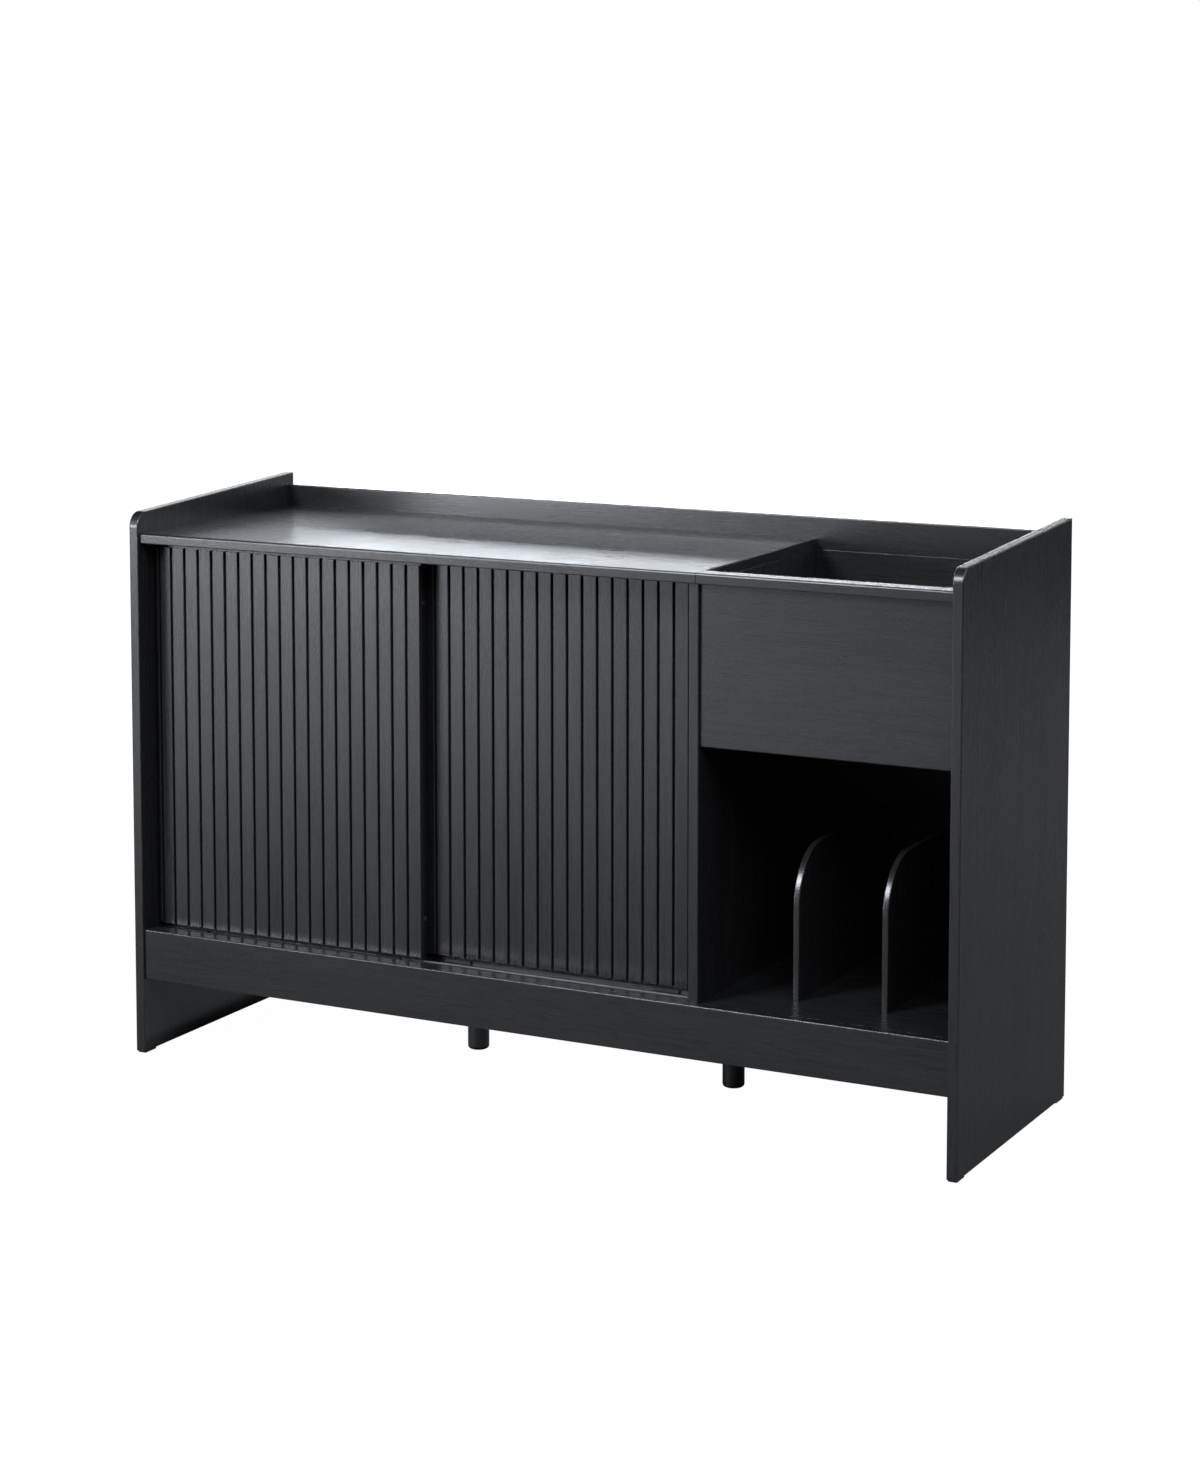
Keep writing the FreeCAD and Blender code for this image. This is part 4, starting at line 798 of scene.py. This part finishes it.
def slat_laminate():
    """The doors' foil: upright grain, each slat from its own place in the sheet, its flanks darkened as
    painted shade in the grooves.
    """
    finish = laminate("slat_laminate", "z", "z", tone=1.15, figure=1.6)
    tree = finish.node_tree
    cut = add_node(tree, "ShaderNodeAttribute", attribute_name="slat").outputs["Fac"]
    shift = add_node(tree, "ShaderNodeCombineXYZ", {axis: calc(tree, "MULTIPLY", cut, step)
                                                    for axis, step in enumerate(SHEET_STEPS)}).outputs[0]
    places = next(node for node in tree.nodes if node.bl_idname == "ShaderNodeTexCoord").outputs["Object"]
    readers = [link.to_socket for link in places.links]
    moved = add_node(tree, "ShaderNodeVectorMath", {0: places, 1: shift}).outputs[0]
    for reader in readers:
        tree.links.new(moved, reader)
    shader = next(node for node in tree.nodes if node.bl_idname == "ShaderNodeBsdfPrincipled")
    colour = shader.inputs["Base Color"].links[0].from_socket
    level = spread(tree, cut, 0.0, 1.0, 0.86, 1.14)
    grey = add_node(tree, "ShaderNodeCombineColor", {0: level, 1: level, 2: level}).outputs[0]
    varied = tint(tree, 1.0, colour, grey, blend="MULTIPLY")
    # The slats' flanks are tinted towards black as painted shade in the grooves between them, and made
    # rougher.
    shaded_flank = spread(tree, across(tree, flat_normal(tree), GRAIN_AXIS["x"]), 0.75, 0.95, 0.0, 1.0)
    tree.links.new(tint(tree, shaded_flank, varied, PORE_BLACK), shader.inputs["Base Color"])
    rough = shader.inputs["Roughness"].links[0].from_socket
    tree.links.new(calc(tree, "ADD", rough, calc(tree, "MULTIPLY", shaded_flank, 0.45)), shader.inputs["Roughness"])
    return finish


def slat_tree():
    """A row of slats from the door's right edge, and one narrow slat after the last."""
    tree, given = new_tree("slat_row", [("Corner", "Vector", (0, 0, 0)),
                                        ("Count", "Int", SLAT_COUNT), ("Width", "Float", SLAT_WIDTH),
                                        ("Gap", "Float", SLAT_GAP), ("Narrow width", "Float", 0.015),
                                        ("Thickness", "Float", 0.0055), ("Height", "Float", 0.564),
                                        ("Arris", "Float", SLAT_ARRIS), ("Seed", "Int", 11),
                                        ("Material", "Material", None)])
    pitch = calc(tree, "ADD", given["Width"], given["Gap"])
    rise = add_node(tree, "ShaderNodeCombineXYZ", {2: given["Height"]}).outputs[0]
    spine = add_node(tree, "GeometryNodeCurvePrimitiveLine", {"End": rise}).outputs[0]

    def slat(width):
        outline = add_node(tree, "GeometryNodeCurvePrimitiveQuadrilateral",
                           {"Width": width, "Height": given["Thickness"]}).outputs[0]
        eased = add_node(tree, "GeometryNodeFilletCurve", {"Curve": outline, "Radius": given["Arris"],
                                                           "Count": 3}, mode="POLY").outputs[0]
        return add_node(tree, "GeometryNodeCurveToMesh", {"Curve": spine, "Profile Curve": eased,
                                                          "Fill Caps": True}).outputs[0]

    def along(distance):
        return add_node(tree, "ShaderNodeCombineXYZ", {0: calc(tree, "MULTIPLY", distance, -1.0)}).outputs[0]

    def slats_on(line, width):
        return add_node(tree, "GeometryNodeInstanceOnPoints", {"Points": line,
                                                               "Instance": slat(width)}).outputs[0]

    first = calc(tree, "MULTIPLY", given["Width"], 0.5)
    row = add_node(tree, "GeometryNodeMeshLine", {"Count": given["Count"], "Offset": along(pitch),
                                                  "Start Location": along(first)}).outputs[0]
    last = calc(tree, "ADD", calc(tree, "MULTIPLY", pitch, given["Count"]),
                calc(tree, "MULTIPLY", given["Narrow width"], 0.5))
    end = add_node(tree, "GeometryNodeMeshLine", {"Count": 1, "Start Location": along(last)}).outputs[0]
    both = joined(tree, (slats_on(row, given["Width"]), slats_on(end, given["Narrow width"])))
    chance = add_node(tree, "FunctionNodeRandomValue", {"Seed": given["Seed"]}).outputs[1]
    marked = add_node(tree, "GeometryNodeStoreNamedAttribute",
                      {"Geometry": both, "Name": "slat", "Value": chance}, domain="INSTANCE").outputs[0]
    moved = add_node(tree, "GeometryNodeTranslateInstances", {"Instances": marked,
                                                              "Translation": given["Corner"]}).outputs[0]
    close_tree(tree, moved, given["Material"])
    return tree


slat_row = slat_tree()
slat_finish = slat_laminate()
door_laminate = laminate("door_laminate", "z", "z", tone=0.8)
# Black nylon darkened further as painted shade, since the shoes and guides sit in shadow under and above the
# doors.
nylon_dark = moulded("nylon_dark", dark=NYLON_BLACK, pale=NYLON_GREY, pebble=900.0, rough=0.62)
soft_buffer = moulded("soft_buffer", dark=NYLON_BLACK, pale=BUFFER_GREY, pebble=2400.0, rough=0.7)


def buffer_rings(tree, given):
    """A low dome with a blunt crown."""
    radius, height = given["Radius"], given["Height"]
    return [(0.0, radius)] + [(calc(tree, "MULTIPLY", height, math.sin(step)),
                               calc(tree, "MULTIPLY", radius, math.cos(step) ** DOME_BLUNTED))
                              for step in DOME_STEPS]


buffer_tree = turned_tree("door_buffer", [("Radius", "Float", 0.004), ("Height", "Float", 0.002)],
                          buffer_rings)


def buffer_places(door):
    """Where each soft buffer sits on the door's edge, and which way it points."""
    low_door, high_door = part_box(door + "_panel")
    places = []
    for island in solids_of(door + "_buffers"):
        low, high, _ = reach_of(island)
        seat = (low + high) / 2
        way = -1.0 if seat.x < (low_door.x + high_door.x) / 2 else 1.0
        seat.x = high.x if way < 0 else low.x
        places.append((seat, (way, 0.0, 0.0)))
    return places


for door, seed in (("front_door", 11), ("rear_door", 23)):
    low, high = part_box(door + "_slats")
    narrow_width = (high.x - low.x) - SLAT_COUNT * (SLAT_WIDTH + SLAT_GAP)
    row = grow(slat_row, bpy.data.meshes.new("empty"),
               {"Corner": (high.x, (low.y + high.y) / 2, low.z), "Thickness": high.y - low.y,
                "Height": high.z - low.z, "Narrow width": narrow_width, "Seed": seed,
                "Material": slat_finish})
    fit(door + "_slat_row", door, "door_laminate", slat_finish, [row], door + "_slats", angle=FLAT_TO)
    for piece, finish, slot in (("_panel", door_laminate, "door_laminate"),
                                ("_edge_strip", slat_finish, "door_laminate"),
                                ("_bottom_shoes", nylon_dark, "nylon_dark"),
                                ("_top_guides", nylon_dark, "nylon_dark")):
        dress(door + piece, finish)
    break_edges(door + "_edge_strip", STRIP_ARRIS)
    screws(door + "_shoe_screws", body=door)
    fit(door + "_buffer_set", door, "soft_buffer", soft_buffer,
        [grow(buffer_tree, axis_points(buffer_places(door)), {"Material": soft_buffer})], door + "_buffers")

# Studio. A white paper floor without edges. Three soft boxes at the front left light the doors, two high ones
# fill in from the front right and the right, and a wall of six behind is the sheen on the cabinet's top. The
# floor throws light back up in front of the cabinet and under it.
FLOOR_RADIUS = 16.0
FLOOR_GREY = (0.14, 0.14, 0.14, 1)
FLOOR_GLOW = 1.06
SHADE_KEPT_WITHIN = 0.8
SHADE_GONE_FROM = 1.9
SHARE_NEAR = 0.93
FLOOR_SIDES = 96
floor_mesh = bpy.data.meshes.new("floor")
ring = bmesh.new()
bmesh.ops.create_circle(ring, cap_ends=True, segments=FLOOR_SIDES, radius=FLOOR_RADIUS)
ring.to_mesh(floor_mesh)
ring.free()
floor = bpy.data.objects.new("floor", floor_mesh)
bpy.context.scene.collection.objects.link(floor)
floor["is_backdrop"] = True

paper = bpy.data.materials.new("floor_paper")
paper.use_nodes = True
tree = paper.node_tree
tree.nodes.clear()
matt = add_node(tree, "ShaderNodeBsdfDiffuse", {"Color": FLOOR_GREY}).outputs[0]
glow = add_node(tree, "ShaderNodeEmission", {"Color": (1, 1, 1, 1), "Strength": FLOOR_GLOW}).outputs[0]
away = add_node(tree, "ShaderNodeVectorMath", {0: object_places(tree)}, operation="LENGTH").outputs["Value"]
seen = add_node(tree, "ShaderNodeLightPath").outputs["Is Camera Ray"]
share = calc(tree, "MULTIPLY", spread(tree, away, SHADE_KEPT_WITHIN, SHADE_GONE_FROM, SHARE_NEAR, 1.0), seen)
blend = add_node(tree, "ShaderNodeMixShader", {0: share, 1: matt, 2: glow}).outputs[0]
add_node(tree, "ShaderNodeOutputMaterial", {"Surface": blend})
floor_mesh.materials.append(paper)

world = bpy.data.worlds.new("studio")
bpy.context.scene.world = world
world.use_nodes = True
tree = world.node_tree
tree.nodes.clear()
level = add_node(tree, "ShaderNodeLightPath").outputs["Is Camera Ray"]
sky = add_node(tree, "ShaderNodeBackground", {"Color": (1, 1, 1, 1), "Strength": level}).outputs[0]
add_node(tree, "ShaderNodeOutputWorld", {"Surface": sky})

COOL = (0.95, 0.99, 1.05)
LIT_MIDDLE = Vector((0.0, 0.0, 0.5))
LIGHTS_AWAY = 5.0


def panel_light(name, where, turned, width, height, radiance):
    """A flat light of that size there, which the camera doesn't see."""
    lamp = bpy.data.lights.new(name, "AREA")
    lamp.shape = "RECTANGLE"
    lamp.size, lamp.size_y = width, height
    lamp.energy = radiance * math.pi * width * height
    lamp.color = COOL
    light = bpy.data.objects.new(name, lamp)
    light.location = where
    light.rotation_euler = turned
    light.visible_camera = False
    bpy.context.scene.collection.objects.link(light)


def softbox(name, bearing, rise, height, radiance, width=24.0):
    """A soft light in that direction from the cabinet, of that width and height seen from it, in degrees."""
    flat = math.cos(math.radians(rise))
    way = Vector((flat * math.cos(math.radians(bearing)), flat * math.sin(math.radians(bearing)),
                  math.sin(math.radians(rise))))
    broad, tall = [2 * LIGHTS_AWAY * math.tan(math.radians(angle / 2)) for angle in (width, height)]
    panel_light(name, LIT_MIDDLE + way * LIGHTS_AWAY, (-way).to_track_quat("-Z", "Y").to_euler(), broad, tall,
                radiance)


softbox("front_key", 234.0, 5.0, 10.0, 30.5, width=12.0)
softbox("front_key_mid", 234.0, 17.0, 14.0, 4.2, width=12.0)
softbox("front_key_high", 246.0, 34.0, 20.0, 45.5, width=12.0)
softbox("front_fill", 311.0, 40.0, 28.0, 5.7, width=40.0)
softbox("right_fill", 14.0, 36.0, 36.0, 3.6, width=44.0)
softbox("rear_wall", 90.0, 5.0, 10.0, 15.5)
softbox("rear_left", 114.0, 5.0, 10.0, 15.8)
softbox("rear_far_left", 138.0, 5.0, 10.0, 6.9)
softbox("rear_right_high", 66.0, 17.0, 14.0, 2.1)
softbox("rear_far_left_high", 138.0, 17.0, 14.0, 1.2)
softbox("rear_left_high", 114.0, 34.0, 20.0, 3.0)
panel_light("floor_glow", (-1.925, -3.3342, 0.01), (math.pi, 0.0, math.radians(150)),
            width=2.8026, height=3.2684, radiance=1.0)
panel_light("under_glow", (-0.34, 0.08, 0.004), (math.pi, 0.0, 0.0), width=0.52, height=0.5, radiance=0.25)

CAMERA_PLACE = (2.1210, -4.0588, 1.3789)
CAMERA_DIP = 5.6437
CAMERA_TURN = 27.3957
LENS, SENSOR = 79.326, 36.0
LENS_DROP = -0.1999
eye = bpy.data.cameras.new("camera")
camera = bpy.data.objects.new("camera", eye)
bpy.context.scene.collection.objects.link(camera)
camera.location = CAMERA_PLACE
camera.rotation_euler = (math.radians(90 - CAMERA_DIP), 0.0, math.radians(CAMERA_TURN))
eye.lens = LENS
eye.sensor_width = SENSOR
eye.shift_y = LENS_DROP
bpy.context.scene.camera = camera
bpy.context.scene.view_settings.view_transform = "Standard"

low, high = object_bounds()
